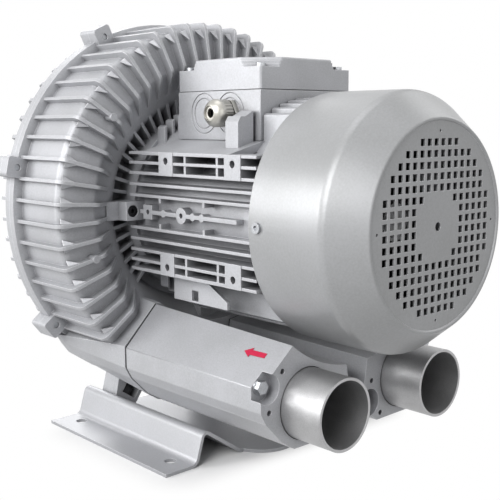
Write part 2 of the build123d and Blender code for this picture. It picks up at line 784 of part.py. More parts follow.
with BuildPart() as impeller_washer:
    add(ring(END_BOLT_R + HOLE_GAP, HUB_R - 6, HUB_Y + HUB_LENGTH, HUB_Y + HUB_LENGTH + 3))
save(impeller_washer, "impeller_washer")

with BuildPart() as impeller_bolt:
    add(hex_bolt(facing(1, 0, HUB_Y + HUB_LENGTH + 3, AXIS_Z), END_BOLT_R, END_BOLT_GRIP, 19, 7.5, 9))
save(impeller_bolt, "impeller_bolt")

with BuildPart() as shaft_sleeve:
    add(ring(SHAFT_R + FIT_GAP, SLEEVE_R, DRIVE_BEARING_Y + DRIVE_BEARING_T, HUB_Y))
save(shaft_sleeve, "shaft_sleeve")

with BuildPart() as shaft_seal:
    add(ring(SLEEVE_R + RUN_GAP, SEAL_R - FIT_GAP, DISC_Y, DISC_Y + SEAL_T))
save(shaft_seal, "shaft_seal")

with BuildPart() as shaft:
    add(
        turned(
            [
                (0, SHAFT_TAIL_Y),
                (FAN_SEAT_R, SHAFT_TAIL_Y),
                (FAN_SEAT_R, FAN_BEARING_Y - 4),
                (BEARING_R, FAN_BEARING_Y - 4),
                (BEARING_R, FAN_BEARING_Y + FAN_BEARING_T),
                (CORE_SHAFT_R, FAN_BEARING_Y + FAN_BEARING_T),
                (CORE_SHAFT_R, DRIVE_BEARING_Y),
                (BEARING_R, DRIVE_BEARING_Y),
                (BEARING_R, DRIVE_BEARING_Y + DRIVE_BEARING_T),
                (SHAFT_R, DRIVE_BEARING_Y + DRIVE_BEARING_T),
                (SHAFT_R, SHAFT_END_Y),
                (0, SHAFT_END_Y),
            ]
        )
    )
    with Locations((0, HUB_Y + KEY_LENGTH / 2, AXIS_Z + SHAFT_R)):
        Box(KEY_WIDTH, KEY_LENGTH, KEY_HEIGHT, mode=Mode.SUBTRACT)
    with BuildSketch(facing(1, 0, SHAFT_END_Y, AXIS_Z)):
        Circle(END_BOLT_R + FIT_GAP)
    extrude(amount=-END_BOLT_GRIP, mode=Mode.SUBTRACT)
save(shaft, "shaft")

# Motor bearings in their two end shields
with BuildPart() as drive_bearing_outer:
    low, high = DRIVE_BEARING_Y, DRIVE_BEARING_Y + DRIVE_BEARING_T
    add(ring(DRIVE_BEARING_R - 6.5, DRIVE_BEARING_R, low, high))
save(drive_bearing_outer, "drive_bearing_outer")

with BuildPart() as drive_bearing_inner:
    add(ring(BEARING_R + FIT_GAP, BEARING_R + 6.5, low, high))
save(drive_bearing_inner, "drive_bearing_inner")

with BuildPart() as fan_bearing_outer:
    low, high = FAN_BEARING_Y, FAN_BEARING_Y + FAN_BEARING_T
    add(ring(FAN_BEARING_R - 5.5, FAN_BEARING_R, low, high))
save(fan_bearing_outer, "fan_bearing_outer")

with BuildPart() as fan_bearing_inner:
    add(ring(BEARING_R + FIT_GAP, BEARING_R + 5.5, low, high))
save(fan_bearing_inner, "fan_bearing_inner")

with BuildPart() as drive_end_shield:
    high = DRIVE_BEARING_Y + DRIVE_BEARING_T
    add(
        turned(
            [
                (DRIVE_BEARING_R + FIT_GAP, DRIVE_BEARING_Y),
                (DRIVE_BEARING_R + 9, DRIVE_BEARING_Y),
                (DRIVE_BEARING_R + 9, SEAT_Y - 2),
                (BORE_R - 9, SEAT_Y - 2),
                (BORE_R - 9, SEAT_Y - SHIELD_SPIGOT),
                (BORE_R - FIT_GAP, SEAT_Y - SHIELD_SPIGOT),
                (BORE_R - FIT_GAP, SEAT_Y + SHIELD_SPIGOT),
                (BORE_R - 9, SEAT_Y + SHIELD_SPIGOT),
                (BORE_R - 9, SEAT_Y + 8),
                (DRIVE_BEARING_R + 6, high + 5),
                (DRIVE_BEARING_R - 7, high + 5),
                (DRIVE_BEARING_R - 7, high),
                (DRIVE_BEARING_R + FIT_GAP, high),
            ]
        )
    )
save(drive_end_shield, "drive_end_shield")

with BuildPart() as fan_end_shield:
    high = FAN_BEARING_Y + FAN_BEARING_T
    add(
        turned(
            [
                (FAN_BEARING_R + FIT_GAP, FAN_BEARING_Y - 4),
                (FAN_BEARING_R + 9, FAN_BEARING_Y - 4),
                (FAN_BEARING_R + 9, SHIELD_Y),
                (BARREL_R, SHIELD_Y),
                (BARREL_R, STATOR_Y),
                (BORE_R - FIT_GAP, STATOR_Y),
                (BORE_R - FIT_GAP, STATOR_Y + SHIELD_SPIGOT / 2),
                (BORE_R - 8, STATOR_Y + SHIELD_SPIGOT / 2),
                (BORE_R - 8, STATOR_Y),
                (FAN_BEARING_R + 9, STATOR_Y),
                (FAN_BEARING_R + 5, high + 5),
                (FAN_BEARING_R - 6, high + 5),
                (FAN_BEARING_R - 6, high + 2),
                (FAN_BEARING_R + FIT_GAP, high + 2),
            ]
        )
    )
    with BuildSketch(across(STATOR_Y)):
        with Locations((0, AXIS_Z)):
            with PolarLocations(BARREL_R, 4, start_angle=45):
                Circle(SHIELD_BOSS_R)
    extrude(amount=STATOR_Y - SHIELD_Y)
    for angle in COWL_SCREW_ANGLES:
        with BuildSketch(radial(angle, (STATOR_Y + SHIELD_Y) / 2, COWL_R - COWL_T - 0.2)):
            Rectangle(STATOR_Y - SHIELD_Y, COWL_BOSS_WIDTH)
        extrude(amount=-(COWL_R - BARREL_R + 4))
        with BuildSketch(radial(angle, (STATOR_Y + SHIELD_Y) / 2, COWL_R)):
            Circle(COWL_SCREW_R + FIT_GAP)
        extrude(amount=-COWL_SCREW_LENGTH - 2, mode=Mode.SUBTRACT)
    with BuildSketch(across(STATOR_Y + 1)):
        with Locations((0, AXIS_Z)):
            with PolarLocations(BARREL_R, 4, start_angle=45):
                Circle(SHIELD_SCREW_R + HOLE_GAP)
    extrude(amount=STATOR_Y - SHIELD_Y + 2, mode=Mode.SUBTRACT)
save(fan_end_shield, "fan_end_shield")

with BuildPart() as wave_washer:
    add(ring(FAN_BEARING_R - 5, FAN_BEARING_R - 0.5, high, high + 2))
save(wave_washer, "wave_washer")

with BuildPart() as shield_screws:
    for angle in (45, 135, 225, 315):
        x, z = on_circle(BARREL_R, angle)
        add(cap_screw(facing(-1, x, SHIELD_Y, z), SHIELD_SCREW_R, STATOR_Y - SHIELD_Y + 16, 5, 6))
save(shield_screws, "shield_screws")

# Stator frame: finned barrel with mounting pads, rails and the shoulder under the terminal box
with BuildPart() as stator_frame:
    for y_high, y_low, half_span, tip_r in (
        (FIN_START_Y, FIN_END_Y, FIN_HALF_SPAN, FIN_CIRCLE_R),
        (SEAT_Y, SHORT_FIN_END_Y, SHORT_FIN_HALF_SPAN, SHORT_FIN_R),
    ):
        with BuildSketch(across(y_high)):
            with Locations((0, AXIS_Z)):
                with GridLocations(FIN_PITCH, 0, int(2 * half_span / FIN_PITCH) + 1, 1):
                    Rectangle(FIN_T, 2 * FIN_CIRCLE_R)
                Circle(tip_r, mode=Mode.INTERSECT)
                Circle(BARREL_R - 1, mode=Mode.SUBTRACT)
        extrude(amount=y_high - y_low)
    with BuildSketch(across(RAIL_START_Y)):
        with Locations(*[(0, AXIS_Z + turn * z) for z in RAIL_OFFSETS for turn in (-1, 1)]):
            Rectangle(2 * FIN_TIP_X, RAIL_T)
        with Locations((0, AXIS_Z)):
            Circle(BARREL_R - 1, mode=Mode.SUBTRACT)
    extrude(amount=RAIL_START_Y - FIN_END_Y)
    with BuildSketch(across(MIDDLE_RIB_Y[1])):
        with Locations((0, AXIS_Z)):
            Rectangle(2 * MIDDLE_RIB_X, MIDDLE_RIB_T)
    extrude(amount=MIDDLE_RIB_Y[1] - MIDDLE_RIB_Y[0])
    with Locations((0, BOX_Y, BOX_FLOOR_Z)):
        Box(
            BOX_SIZE + 2,
            BOX_LENGTH + 2,
            FIN_CIRCLE_R,
            align=(Align.CENTER, Align.CENTER, Align.MIN),
            mode=Mode.SUBTRACT,
        )
    with BuildSketch(across(SHOULDER_Y)):
        for side in (-1, 1):
            for turn in (-1, 1):
                with BuildLine():
                    Polyline(
                        *[(side * x, AXIS_Z + turn * z) for x, z in SHOULDER_OUTLINE], close=True
                    )
                make_face()
    extrude(amount=SHOULDER_LENGTH)
    for stations, height, mid in (
        (WEB_Y, PAD_HEIGHT, PAD_MID),
        (STUB_Y, STUB_HEIGHT, RAIL_OFFSETS[-1] - STUB_HEIGHT / 2),
    ):
        with BuildSketch(*[across(y + RAIL_T / 2) for y in stations]):
            with Locations((0, AXIS_Z - mid), (0, AXIS_Z + mid)):
                Rectangle(2 * FIN_TIP_X - 1, height)
        extrude(amount=RAIL_T)
    for side in (-1, 1):
        with BuildSketch(sideways(side, PAD_X, 0, AXIS_Z)):
            with Locations(*[(side * y, turn * PAD_MID) for y in PAD_Y for turn in (-1, 1)]):
                Rectangle(PAD_WIDTH, PAD_HEIGHT)
        extrude(amount=-PAD_X + BARREL_R - 30)
        with BuildSketch(Plane.YZ.offset(side * (FLANK_X - FLANK_T / 2))):
            with BuildLine():
                Polyline(*FLANK_OUTLINE, close=True)
            make_face()
            with Locations((FLANK_WINDOW_Y, FLANK_WINDOW_Z)):
                Rectangle(FLANK_WINDOW, FLANK_WINDOW, mode=Mode.SUBTRACT)
        extrude(amount=FLANK_T / 2, both=True)
        with BuildSketch(sideways(side, MIDDLE_RIB_X, 0, AXIS_Z)):
            for y, r in RIB_BOSSES:
                with Locations((side * y, 0)):
                    Circle(r)
            with Locations((side * SQUARE_BOSS_Y, 0)):
                Rectangle(SQUARE_BOSS, SQUARE_BOSS)
        extrude(amount=-MIDDLE_RIB_X + BARREL_R - 10)
    with BuildSketch(across(POST_Y)):
        with BuildLine():
            Polyline(*POST_OUTLINE, close=True)
        make_face()
    extrude(amount=POST_LENGTH)
    with BuildSketch(across(SEAT_Y)):
        with Locations((0, AXIS_Z)):
            with PolarLocations((BORE_R + FLANGE_LUG_TOP_R) / 2, 4):
                Rectangle(FLANGE_LUG_TOP_R - BORE_R, FLANGE_LUG_WIDTH)
    extrude(amount=FLANGE_T)
    with BuildSketch(across(STATOR_Y + FLANGE_T + 8)):
        with Locations((0, AXIS_Z)):
            with PolarLocations(BARREL_R, 4, start_angle=45):
                Circle(SHIELD_BOSS_R)
    extrude(amount=FLANGE_T + 8)
    with BuildSketch(across(SEAT_Y)):
        with Locations((0, AXIS_Z)):
            Circle(BARREL_R)
    extrude(amount=STATOR_LENGTH)
    with BuildSketch(across(SEAT_Y)):
        with Locations((0, AXIS_Z)):
            Circle(BORE_R)
    extrude(amount=STATOR_LENGTH, mode=Mode.SUBTRACT)
    with BuildSketch(across(SEAT_Y)):
        with Locations((0, AXIS_Z)):
            with PolarLocations(SEAT_BOLT_CIRCLE_R, 4):
                Circle(SEAT_BOLT_R + HOLE_GAP)
    extrude(amount=FLANGE_T, mode=Mode.SUBTRACT)
    with BuildSketch(across(SEAT_Y - FLANGE_T + COUNTERBORE)):
        with Locations((0, AXIS_Z)):
            with PolarLocations(SEAT_BOLT_CIRCLE_R, 4):
                Circle(COUNTERBORE_R)
    extrude(amount=COUNTERBORE + 1, mode=Mode.SUBTRACT)
    with BuildSketch(across(STATOR_Y + FLANGE_T + 6)):
        with Locations((0, AXIS_Z)):
            with PolarLocations(BARREL_R, 4, start_angle=45):
                Circle(SHIELD_SCREW_R + FIT_GAP)
    extrude(amount=FLANGE_T + 6, mode=Mode.SUBTRACT)
    for side in (-1, 1):
        with BuildSketch(sideways(side, PAD_X, 0, AXIS_Z)):
            with Locations(*[(side * y, turn * PAD_OFFSET) for y in PAD_Y for turn in (-1, 1)]):
                Circle(PAD_HOLE_R)
            with Locations((side * SQUARE_BOSS_Y, 0), (side * RIB_BOSSES[0][0], 0)):
                Circle(PAD_HOLE_R - 1)
        extrude(amount=-PAD_HOLE_DEPTH, mode=Mode.SUBTRACT)
    with Locations((0, BOX_Y + LEAD_HOLE_OFFSET, AXIS_Z + BARREL_R)):
        Cylinder(LEAD_HOLE_R, 3 * RAIL_T, mode=Mode.SUBTRACT)
    with Locations(*[(0, BOX_Y + turn * BOX_SCREW_Y, AXIS_Z + BARREL_R) for turn in (-1, 1)]):
        Cylinder(BOX_SCREW_R + FIT_GAP, 15, mode=Mode.SUBTRACT)
save(stator_frame, "stator_frame")

with BuildPart() as flange_bolts:
    for angle in SEAT_ANGLES:
        x, z = on_circle(SEAT_BOLT_CIRCLE_R, angle)
        seat = facing(-1, x, SEAT_Y - FLANGE_T + COUNTERBORE, z)
        add(cap_screw(seat, SEAT_BOLT_R, FLANGE_T - COUNTERBORE + SEAT_GRIP - 3, SEAT_HEAD_R, SEAT_HEAD))
save(flange_bolts, "flange_bolts")

# Wound stator and cage rotor
CORE_END_Y = CORE_Y + CORE_LENGTH

with BuildPart() as stator_core:
    with BuildSketch(across(CORE_END_Y)):
        with Locations((0, AXIS_Z)):
            Circle(BORE_R - FIT_GAP)
            Circle(CORE_BORE_R, mode=Mode.SUBTRACT)
            with PolarLocations((SLOT_IN_R + SLOT_OUT_R) / 2, SLOT_COUNT):
                Rectangle(SLOT_OUT_R - SLOT_IN_R, SLOT_WIDTH, mode=Mode.SUBTRACT)
    extrude(amount=CORE_LENGTH)
save(stator_core, "stator_core")

with BuildPart() as stator_winding:
    for low in (CORE_Y - WINDING_HEAD, CORE_END_Y):
        add(ring(SLOT_IN_R - 1, SLOT_OUT_R, low, low + WINDING_HEAD))
    with BuildSketch(across(CORE_END_Y + 1)):
        with Locations((0, AXIS_Z)):
            with PolarLocations((SLOT_IN_R + SLOT_OUT_R) / 2, SLOT_COUNT):
                Rectangle(SLOT_OUT_R - SLOT_IN_R - 2, SLOT_WIDTH - 0.6)
    extrude(amount=CORE_LENGTH + 2)
save(stator_winding, "stator_winding")

with BuildPart() as rotor_core:
    with BuildSketch(across(CORE_END_Y)):
        with Locations((0, AXIS_Z)):
            Circle(CORE_BORE_R - AIR_GAP)
            Circle(CORE_SHAFT_R + FIT_GAP, mode=Mode.SUBTRACT)
            with PolarLocations(CAGE_BAR_R, CAGE_BARS):
                Rectangle(CAGE_BAR + 0.2, CAGE_BAR + 0.2, mode=Mode.SUBTRACT)
    extrude(amount=CORE_LENGTH)
save(rotor_core, "rotor_core")

with BuildPart() as rotor_cage:
    for low in (CORE_Y - CAGE_RING, CORE_END_Y):
        add(ring(CAGE_BAR_R - 8, CAGE_BAR_R + 5, low, low + CAGE_RING))
    with BuildSketch(across(CORE_END_Y + 1)):
        with Locations((0, AXIS_Z)):
            with PolarLocations(CAGE_BAR_R, CAGE_BARS):
                Rectangle(CAGE_BAR, CAGE_BAR)
    extrude(amount=CORE_LENGTH + 2)
save(rotor_cage, "rotor_cage")

# Cooling fan on the tail of the shaft, under the cowl
with BuildPart() as cooling_fan:
    add(ring(FAN_SEAT_R + FIT_GAP, FAN_HUB_R, FAN_Y, FAN_Y + FAN_HUB_LENGTH))
    add(ring(FAN_HUB_R - 1, FAN_R - 12, FAN_Y + FAN_HUB_LENGTH - 3, FAN_Y + FAN_HUB_LENGTH))
    with BuildSketch(*[meridian(360 / FAN_BLADES * i + 12) for i in range(FAN_BLADES)]):
        with BuildLine():
            Polyline(
                (FAN_HUB_R - 2, FAN_Y + FAN_HUB_LENGTH),
                (FAN_R - 12, FAN_Y + FAN_HUB_LENGTH),
                (FAN_R, FAN_Y + FAN_HUB_LENGTH - 10),
                (FAN_R, FAN_Y - 12),
                (FAN_R - 30, FAN_Y - 12),
                (FAN_HUB_R - 2, FAN_Y + 8),
                close=True,
            )
        make_face()
    extrude(amount=1.5, both=True)
save(cooling_fan, "cooling_fan")

with BuildPart() as fan_circlip:
    add(ring(FAN_SEAT_R + FIT_GAP, FAN_SEAT_R + 4, FAN_Y - 2, FAN_Y - 0.4))
save(fan_circlip, "fan_circlip")

# Fan cowl: pressed sheet with a bevelled rim, a raised bead and a square hole grille
GRILLE_STEPS = [(i + 0.5) * GRILLE_PITCH for i in range(-8, 8)]
GRILLE = [
    (x, AXIS_Z + z)
    for x in GRILLE_STEPS
    for z in GRILLE_STEPS
    if GRILLE_BLANK < sqrt(x**2 + z**2) / GRILLE_PITCH < GRILLE_SPAN
]

with BuildPart() as fan_cowl:
    add(
        turned(
            [
                (COWL_R - COWL_T, COWL_Y),
                (COWL_R, COWL_Y),
                (COWL_R, CREASE_Y),
                (BEAD_R + BEAD_T, BEAD_Y),
                (BEAD_R, BEAD_Y),
                (BEAD_R - 1, BEAD_Y + BEAD_HEIGHT),
                (0, BEAD_Y + BEAD_HEIGHT),
                (0, BEAD_Y + BEAD_HEIGHT + COWL_T),
                (BEAD_R + BEAD_T, BEAD_Y + BEAD_HEIGHT + COWL_T),
                (COWL_R - COWL_T, CREASE_Y + COWL_T / 3),
            ]
        )
    )
    with BuildSketch(across(BEAD_Y + 2 * BEAD_HEIGHT + COWL_T)):
        with Locations(*GRILLE):
            Rectangle(GRILLE_HOLE, GRILLE_HOLE)
        with Locations((0, AXIS_Z)):
            Circle(COWL_CENTRE_R)
            with PolarLocations(COWL_PIN_CIRCLE_R, 4):
                Circle(COWL_PIN_R)
    extrude(amount=3 * BEAD_HEIGHT + COWL_T, mode=Mode.SUBTRACT)
    for angle in COWL_SCREW_ANGLES:
        with BuildSketch(radial(angle, (STATOR_Y + SHIELD_Y) / 2, COWL_R + 1)):
            Circle(COWL_SCREW_R + HOLE_GAP)
        extrude(amount=-2 * COWL_T, mode=Mode.SUBTRACT)
save(fan_cowl, "fan_cowl")

with BuildPart() as cowl_screws:
    for angle in COWL_SCREW_ANGLES:
        spot = radial(angle, (STATOR_Y + SHIELD_Y) / 2, COWL_R)
        add(cap_screw(spot, COWL_SCREW_R, COWL_SCREW_LENGTH, 5.5, 3))
save(cowl_screws, "cowl_screws")

# Terminal box saddled on the barrel, its lid, board and cable gland
BOX_INNER = BOX_SIZE - 2 * BOX_WALL
BOX_INNER_LENGTH = BOX_LENGTH - 2 * BOX_WALL
LID_BASE_Z = BOX_SEAM_Z + LID_GASKET_T
SADDLE_R = BARREL_R + FIT_GAP
BOX_FRONT_Y = BOX_Y + BOX_LENGTH / 2
BOARD_Z = AXIS_Z + SADDLE_R + BOX_WALL + 3
FROM_BELOW = (Align.CENTER, Align.CENTER, Align.MIN)

with BuildPart() as terminal_box:
    with Locations((0, BOX_Y, BOX_FLOOR_Z)):
        Box(BOX_SIZE, BOX_LENGTH, BOX_SEAM_Z - BOX_FLOOR_Z, align=FROM_BELOW)
        Box(BOX_INNER, BOX_INNER_LENGTH, BOX_SEAM_Z, align=FROM_BELOW, mode=Mode.SUBTRACT)
    with BuildSketch(across(BOX_FRONT_Y - 1)):
        with Locations((0, AXIS_Z)):
            Circle(SADDLE_R + BOX_WALL)
        with Locations((0, BOX_FLOOR_Z)):
            Rectangle(BOX_INNER + 2, BARREL_R, align=(Align.CENTER, Align.MIN), mode=Mode.INTERSECT)
    extrude(amount=BOX_LENGTH - 2)
    with Locations((0, BOX_Y, BOARD_Z - 6)):
        Box(BOARD_SIZE[0], BOARD_SIZE[1], 6, align=FROM_BELOW)
    with Locations((0, BOX_Y, BOX_FLOOR_Z + 20)):
        with GridLocations(LID_SCREW_X, LID_SCREW_Y, 2, 2):
            Cylinder(LID_POST_R, BOX_SEAM_Z - BOX_FLOOR_Z - 20, align=FROM_BELOW)
            with Locations((0, 0, 8)):
                Cylinder(LID_SCREW_R + FIT_GAP, BOX_SEAM_Z, align=FROM_BELOW, mode=Mode.SUBTRACT)
    with BuildSketch(across(BOX_FRONT_Y)):
        with Locations((0, AXIS_Z)):
            Circle(SADDLE_R)
    extrude(amount=BOX_LENGTH, mode=Mode.SUBTRACT)
    with BuildSketch(sideways(-1, BOX_SIZE / 2, 0, GLAND_Z)):
        with Locations((-GLAND_Y, 0), (-KNOCKOUT_Y, 0)):
            Circle(KNOCKOUT_R)
            Circle(KNOCKOUT_R - KNOCKOUT_LINE, mode=Mode.SUBTRACT)
            Circle(KNOCKOUT_R - KNOCKOUT_STEP)
            Circle(KNOCKOUT_R - KNOCKOUT_STEP - KNOCKOUT_LINE, mode=Mode.SUBTRACT)
    extrude(amount=-BOX_WALL / 4, mode=Mode.SUBTRACT)
    with BuildSketch(sideways(-1, BOX_SIZE / 2, GLAND_Y, GLAND_Z)):
        Circle(GLAND_THREAD_R + FIT_GAP)
    extrude(amount=-BOX_WALL - 1, mode=Mode.SUBTRACT)
    with Locations((0, BOX_Y + LEAD_HOLE_OFFSET, AXIS_Z + BARREL_R)):
        Cylinder(LEAD_HOLE_R, 30, mode=Mode.SUBTRACT)
    with Locations(*[(0, BOX_Y + turn * BOX_SCREW_Y, AXIS_Z + BARREL_R) for turn in (-1, 1)]):
        Cylinder(BOX_SCREW_R + HOLE_GAP, 30, mode=Mode.SUBTRACT)
save(terminal_box, "terminal_box")

with BuildPart() as box_screws:
    for turn in (-1, 1):
        crest = Plane(origin=(0, BOX_Y + turn * BOX_SCREW_Y, AXIS_Z + SADDLE_R + BOX_WALL))
        add(cap_screw(crest, BOX_SCREW_R, BOX_WALL + 7, 4.5, 5))
save(box_screws, "box_screws")

with BuildPart() as box_gasket:
    with Locations((0, BOX_Y, BOX_SEAM_Z)):
        Box(
            BOX_SIZE - 2 * LID_GASKET_INSET,
            BOX_LENGTH - 2 * LID_GASKET_INSET,
            LID_GASKET_T,
            align=FROM_BELOW,
        )
        Box(BOX_INNER, BOX_INNER_LENGTH, LID_GASKET_T, align=FROM_BELOW, mode=Mode.SUBTRACT)
save(box_gasket, "box_gasket")

with BuildPart() as box_lid:
    with Locations((0, BOX_Y, LID_BASE_Z)):
        Box(BOX_SIZE, BOX_LENGTH, LID_EDGE_Z - LID_BASE_Z, align=FROM_BELOW)
    with BuildSketch(Plane.XY.offset(LID_EDGE_Z)):
        with BuildLine():
            half_x, half_y = BOX_SIZE / 2, BOX_LENGTH / 2
            corners = [
                (half_x, half_y - LID_CUT),
                (half_x - LID_CUT, half_y),
                (LID_CUT - half_x, half_y),
                (-half_x, half_y - LID_CUT),
                (-half_x, LID_CUT - half_y),
                (LID_CUT - half_x, -half_y),
                (half_x - LID_CUT, -half_y),
                (half_x, LID_CUT - half_y),
            ]
            Polyline(*[(x, BOX_Y + y) for x, y in corners], close=True)
        make_face()
    extrude(amount=LID_TOP_Z - LID_EDGE_Z, taper=LID_TAPER)
    with Locations((0, BOX_Y, LID_BASE_Z)):
        Box(
            BOX_INNER,
            BOX_INNER_LENGTH,
            LID_EDGE_Z - LID_BASE_Z - BOX_WALL,
            align=FROM_BELOW,
            mode=Mode.SUBTRACT,
        )
        with GridLocations(LID_SCREW_X, LID_SCREW_Y, 2, 2):
            Cylinder(LID_POST_R, LID_EDGE_Z - LID_BASE_Z, align=FROM_BELOW)
            Cylinder(LID_SCREW_R + HOLE_GAP, LID_TOP_Z, align=FROM_BELOW, mode=Mode.SUBTRACT)
save(box_lid, "box_lid")

with BuildPart() as lid_screws:
    with BuildPart(mode=Mode.PRIVATE) as lid_screw:
        add(cap_screw(Plane.XY.offset(LID_EDGE_Z), LID_SCREW_R, LID_SCREW_LENGTH, 5, 4))
    with Locations((0, BOX_Y, 0)):
        with GridLocations(LID_SCREW_X, LID_SCREW_Y, 2, 2):
            add(lid_screw.part)
save(lid_screws, "lid_screws")

with BuildPart() as terminal_board:
    with Locations((0, BOX_Y, BOARD_Z)):
        Box(*BOARD_SIZE, align=FROM_BELOW)
        with GridLocations(BOARD_PITCH, BOARD_PITCH, 3, 2):
            Cylinder(STUD_R, BOARD_SIZE[2], align=FROM_BELOW, mode=Mode.SUBTRACT)
save(terminal_board, "terminal_board")

with BuildPart() as terminal_studs:
    with Locations((0, BOX_Y, BOARD_Z)):
        with GridLocations(BOARD_PITCH, BOARD_PITCH, 3, 2):
            Cylinder(STUD_R, STUD_LENGTH, align=FROM_BELOW)
save(terminal_studs, "terminal_studs")

with BuildPart() as terminal_nuts:
    with BuildSketch(Plane.XY.offset(BOARD_Z + BOARD_SIZE[2])):
        with Locations((0, BOX_Y)):
            with GridLocations(BOARD_PITCH, BOARD_PITCH, 3, 2):
                RegularPolygon(radius=4, side_count=6, major_radius=False)
                Circle(STUD_R, mode=Mode.SUBTRACT)
    extrude(amount=3.2)
save(terminal_nuts, "terminal_nuts")

GLAND_FACE = sideways(-1, BOX_SIZE / 2, GLAND_Y, GLAND_Z)
GLAND_INSIDE = sideways(-1, BOX_SIZE / 2 - BOX_WALL, GLAND_Y, GLAND_Z)
GLAND_SECTION = Plane(origin=GLAND_FACE.origin, x_dir=(-1, 0, 0), z_dir=(0, 1, 0))
GLAND_DOME_TURN = radians(45)

with BuildPart() as gland_body:
    with BuildSketch(GLAND_FACE):
        RegularPolygon(radius=GLAND_R - 1, side_count=6, major_radius=False)
    extrude(amount=GLAND_BASE)
    with BuildSketch(GLAND_FACE):
        Circle(GLAND_NECK_R)
    extrude(amount=GLAND_DOME_START)
    with BuildSketch(GLAND_FACE):
        Circle(GLAND_THREAD_R)
    extrude(amount=-BOX_WALL - GLAND_NUT_T - 2)
    with BuildSketch(GLAND_FACE.offset(GLAND_REACH)):
        Circle(CABLE_R + 1)
    extrude(amount=-2 * GLAND_REACH, mode=Mode.SUBTRACT)
save(gland_body, "gland_body")

with BuildPart() as gland_cap:
    with BuildSketch(GLAND_SECTION):
        with BuildLine():
            rise = GLAND_R - GLAND_MOUTH_R
            run = GLAND_REACH - GLAND_DOME_START
            Polyline(
                (GLAND_REACH, GLAND_MOUTH_R),
                (GLAND_REACH - GLAND_MOUTH, GLAND_MOUTH_R),
                (GLAND_REACH - GLAND_MOUTH, CABLE_R),
                (GLAND_REACH - GLAND_MOUTH - GLAND_LIP, CABLE_R),
                (GLAND_DOME_START + 1, GLAND_NECK_R + FIT_GAP),
                (GLAND_CAP_START, GLAND_NECK_R + FIT_GAP),
                (GLAND_CAP_START, GLAND_R),
                (GLAND_DOME_START, GLAND_R),
            )
            ThreePointArc(
                (GLAND_DOME_START, GLAND_R),
                (GLAND_DOME_START + run * sin(GLAND_DOME_TURN), GLAND_R - rise * (1 - cos(GLAND_DOME_TURN))),
                (GLAND_REACH, GLAND_MOUTH_R),
            )
        make_face()
    revolve(axis=Axis(GLAND_FACE.origin, (-1, 0, 0)))
    with BuildSketch(GLAND_FACE.offset(GLAND_DOME_START)):
        with PolarLocations(GLAND_R, GLAND_GROOVES):
            Circle(GLAND_GROOVE_R)
    extrude(amount=GLAND_CAP_START - GLAND_DOME_START, mode=Mode.SUBTRACT)
save(gland_cap, "gland_cap")

with BuildPart() as gland_nut:
    with BuildSketch(GLAND_INSIDE):
        RegularPolygon(radius=GLAND_THREAD_R + 4, side_count=6, major_radius=False)
        Circle(GLAND_THREAD_R + FIT_GAP, mode=Mode.SUBTRACT)
    extrude(amount=-GLAND_NUT_T)
save(gland_nut, "gland_nut")

# Silencers below the motor, tied to the port block by long bolts
def silencer_section(y, rise, inset=0.0):
    """Outline of the left silencer at a station, with its ridge raised and its wall inset."""
    ridge = (RIDGE[0], RIDGE[1] + rise)
    arc_r = sqrt(ridge[0] ** 2 + (AXIS_Z - ridge[1]) ** 2)
    inner = (INNER_TOP[0], AXIS_Z - sqrt(arc_r**2 - INNER_TOP[0] ** 2))
    middle_x = (ridge[0] + inner[0]) / 2
    with BuildSketch(across(y)) as section:
        with BuildLine():
            Polyline(
                ridge,
                CORNER,
                SIDE_FOOT,
                CHINE,
                KEEL,
                BOTTOM,
                INNER_BOTTOM,
                INNER_FOOT,
                INNER_SIDE,
                inner,
            )
            ThreePointArc(inner, (middle_x, AXIS_Z - sqrt(arc_r**2 - middle_x**2)), ridge)
        make_face()
        if inset:
            offset(amount=-inset, kind=Kind.INTERSECTION)
    return section.sketch.faces()[0]


def tubes(spots, r_in, r_out, y_low, y_high):
    """Plain tubes or rods along the motor axis direction at the given (x, z) spots."""
    with BuildPart() as body:
        with BuildSketch(across(y_high)):
            with Locations(*spots):
                Circle(r_out)
                if r_in:
                    Circle(r_in, mode=Mode.SUBTRACT)
        extrude(amount=y_high - y_low)
    return body.part


PIPE = [(-PIPE_X, PIPE_Z)]
DIMPLES = [
    on_circle(DIMPLE_CIRCLE_R, angle + turn * DIMPLE_STEP, PIPE_Z, -PIPE_X)
    for angle in EAR_ANGLES
    for turn in (-1, 1)
]
SILENCER_ROOT_Y = ROOT_Y - GASKET_T
CAVITY_END_Y = END_Y + END_WALL
PIPE_TAIL_Y = CAVITY_END_Y + PIPE_COLLAR

with BuildPart() as silencer_hollow:
    loft(
        [
            silencer_section(CAVITY_END_Y, 0, SILENCER_WALL),
            silencer_section(ROOT_Y, RIDGE_RISE, SILENCER_WALL),
        ]
    )
    add(tubes(EARS, 0, TIE_R + 5, END_Y, ROOT_Y + 1), mode=Mode.SUBTRACT)
    add(tubes(EARS, 0, EAR_POCKET_R + 4, END_Y, END_Y + EAR_POCKET_DEPTH + 5), mode=Mode.SUBTRACT)

with BuildPart() as silencer_left:
    loft([silencer_section(END_Y, 0), silencer_section(SILENCER_ROOT_Y, RIDGE_RISE)])
    add(silencer_hollow.part, mode=Mode.SUBTRACT)
    add(tubes(PIPE, 0, PIPE_R + PIPE_GAP, END_Y - 1, CAVITY_END_Y + 1), mode=Mode.SUBTRACT)
    add(tubes(EARS, 0, EAR_POCKET_R, END_Y - 1, END_Y + EAR_POCKET_DEPTH), mode=Mode.SUBTRACT)
    add(tubes(EARS, 0, TIE_R + HOLE_GAP, END_Y, ROOT_Y), mode=Mode.SUBTRACT)
    add(tubes(DIMPLES, 0, DIMPLE_R, END_Y - 1, END_Y + 5), mode=Mode.SUBTRACT)
save(silencer_left, "silencer_left")

with BuildPart() as silencer_right:
    mirror(silencer_left.part, about=Plane.YZ)
save(silencer_right, "silencer_right")

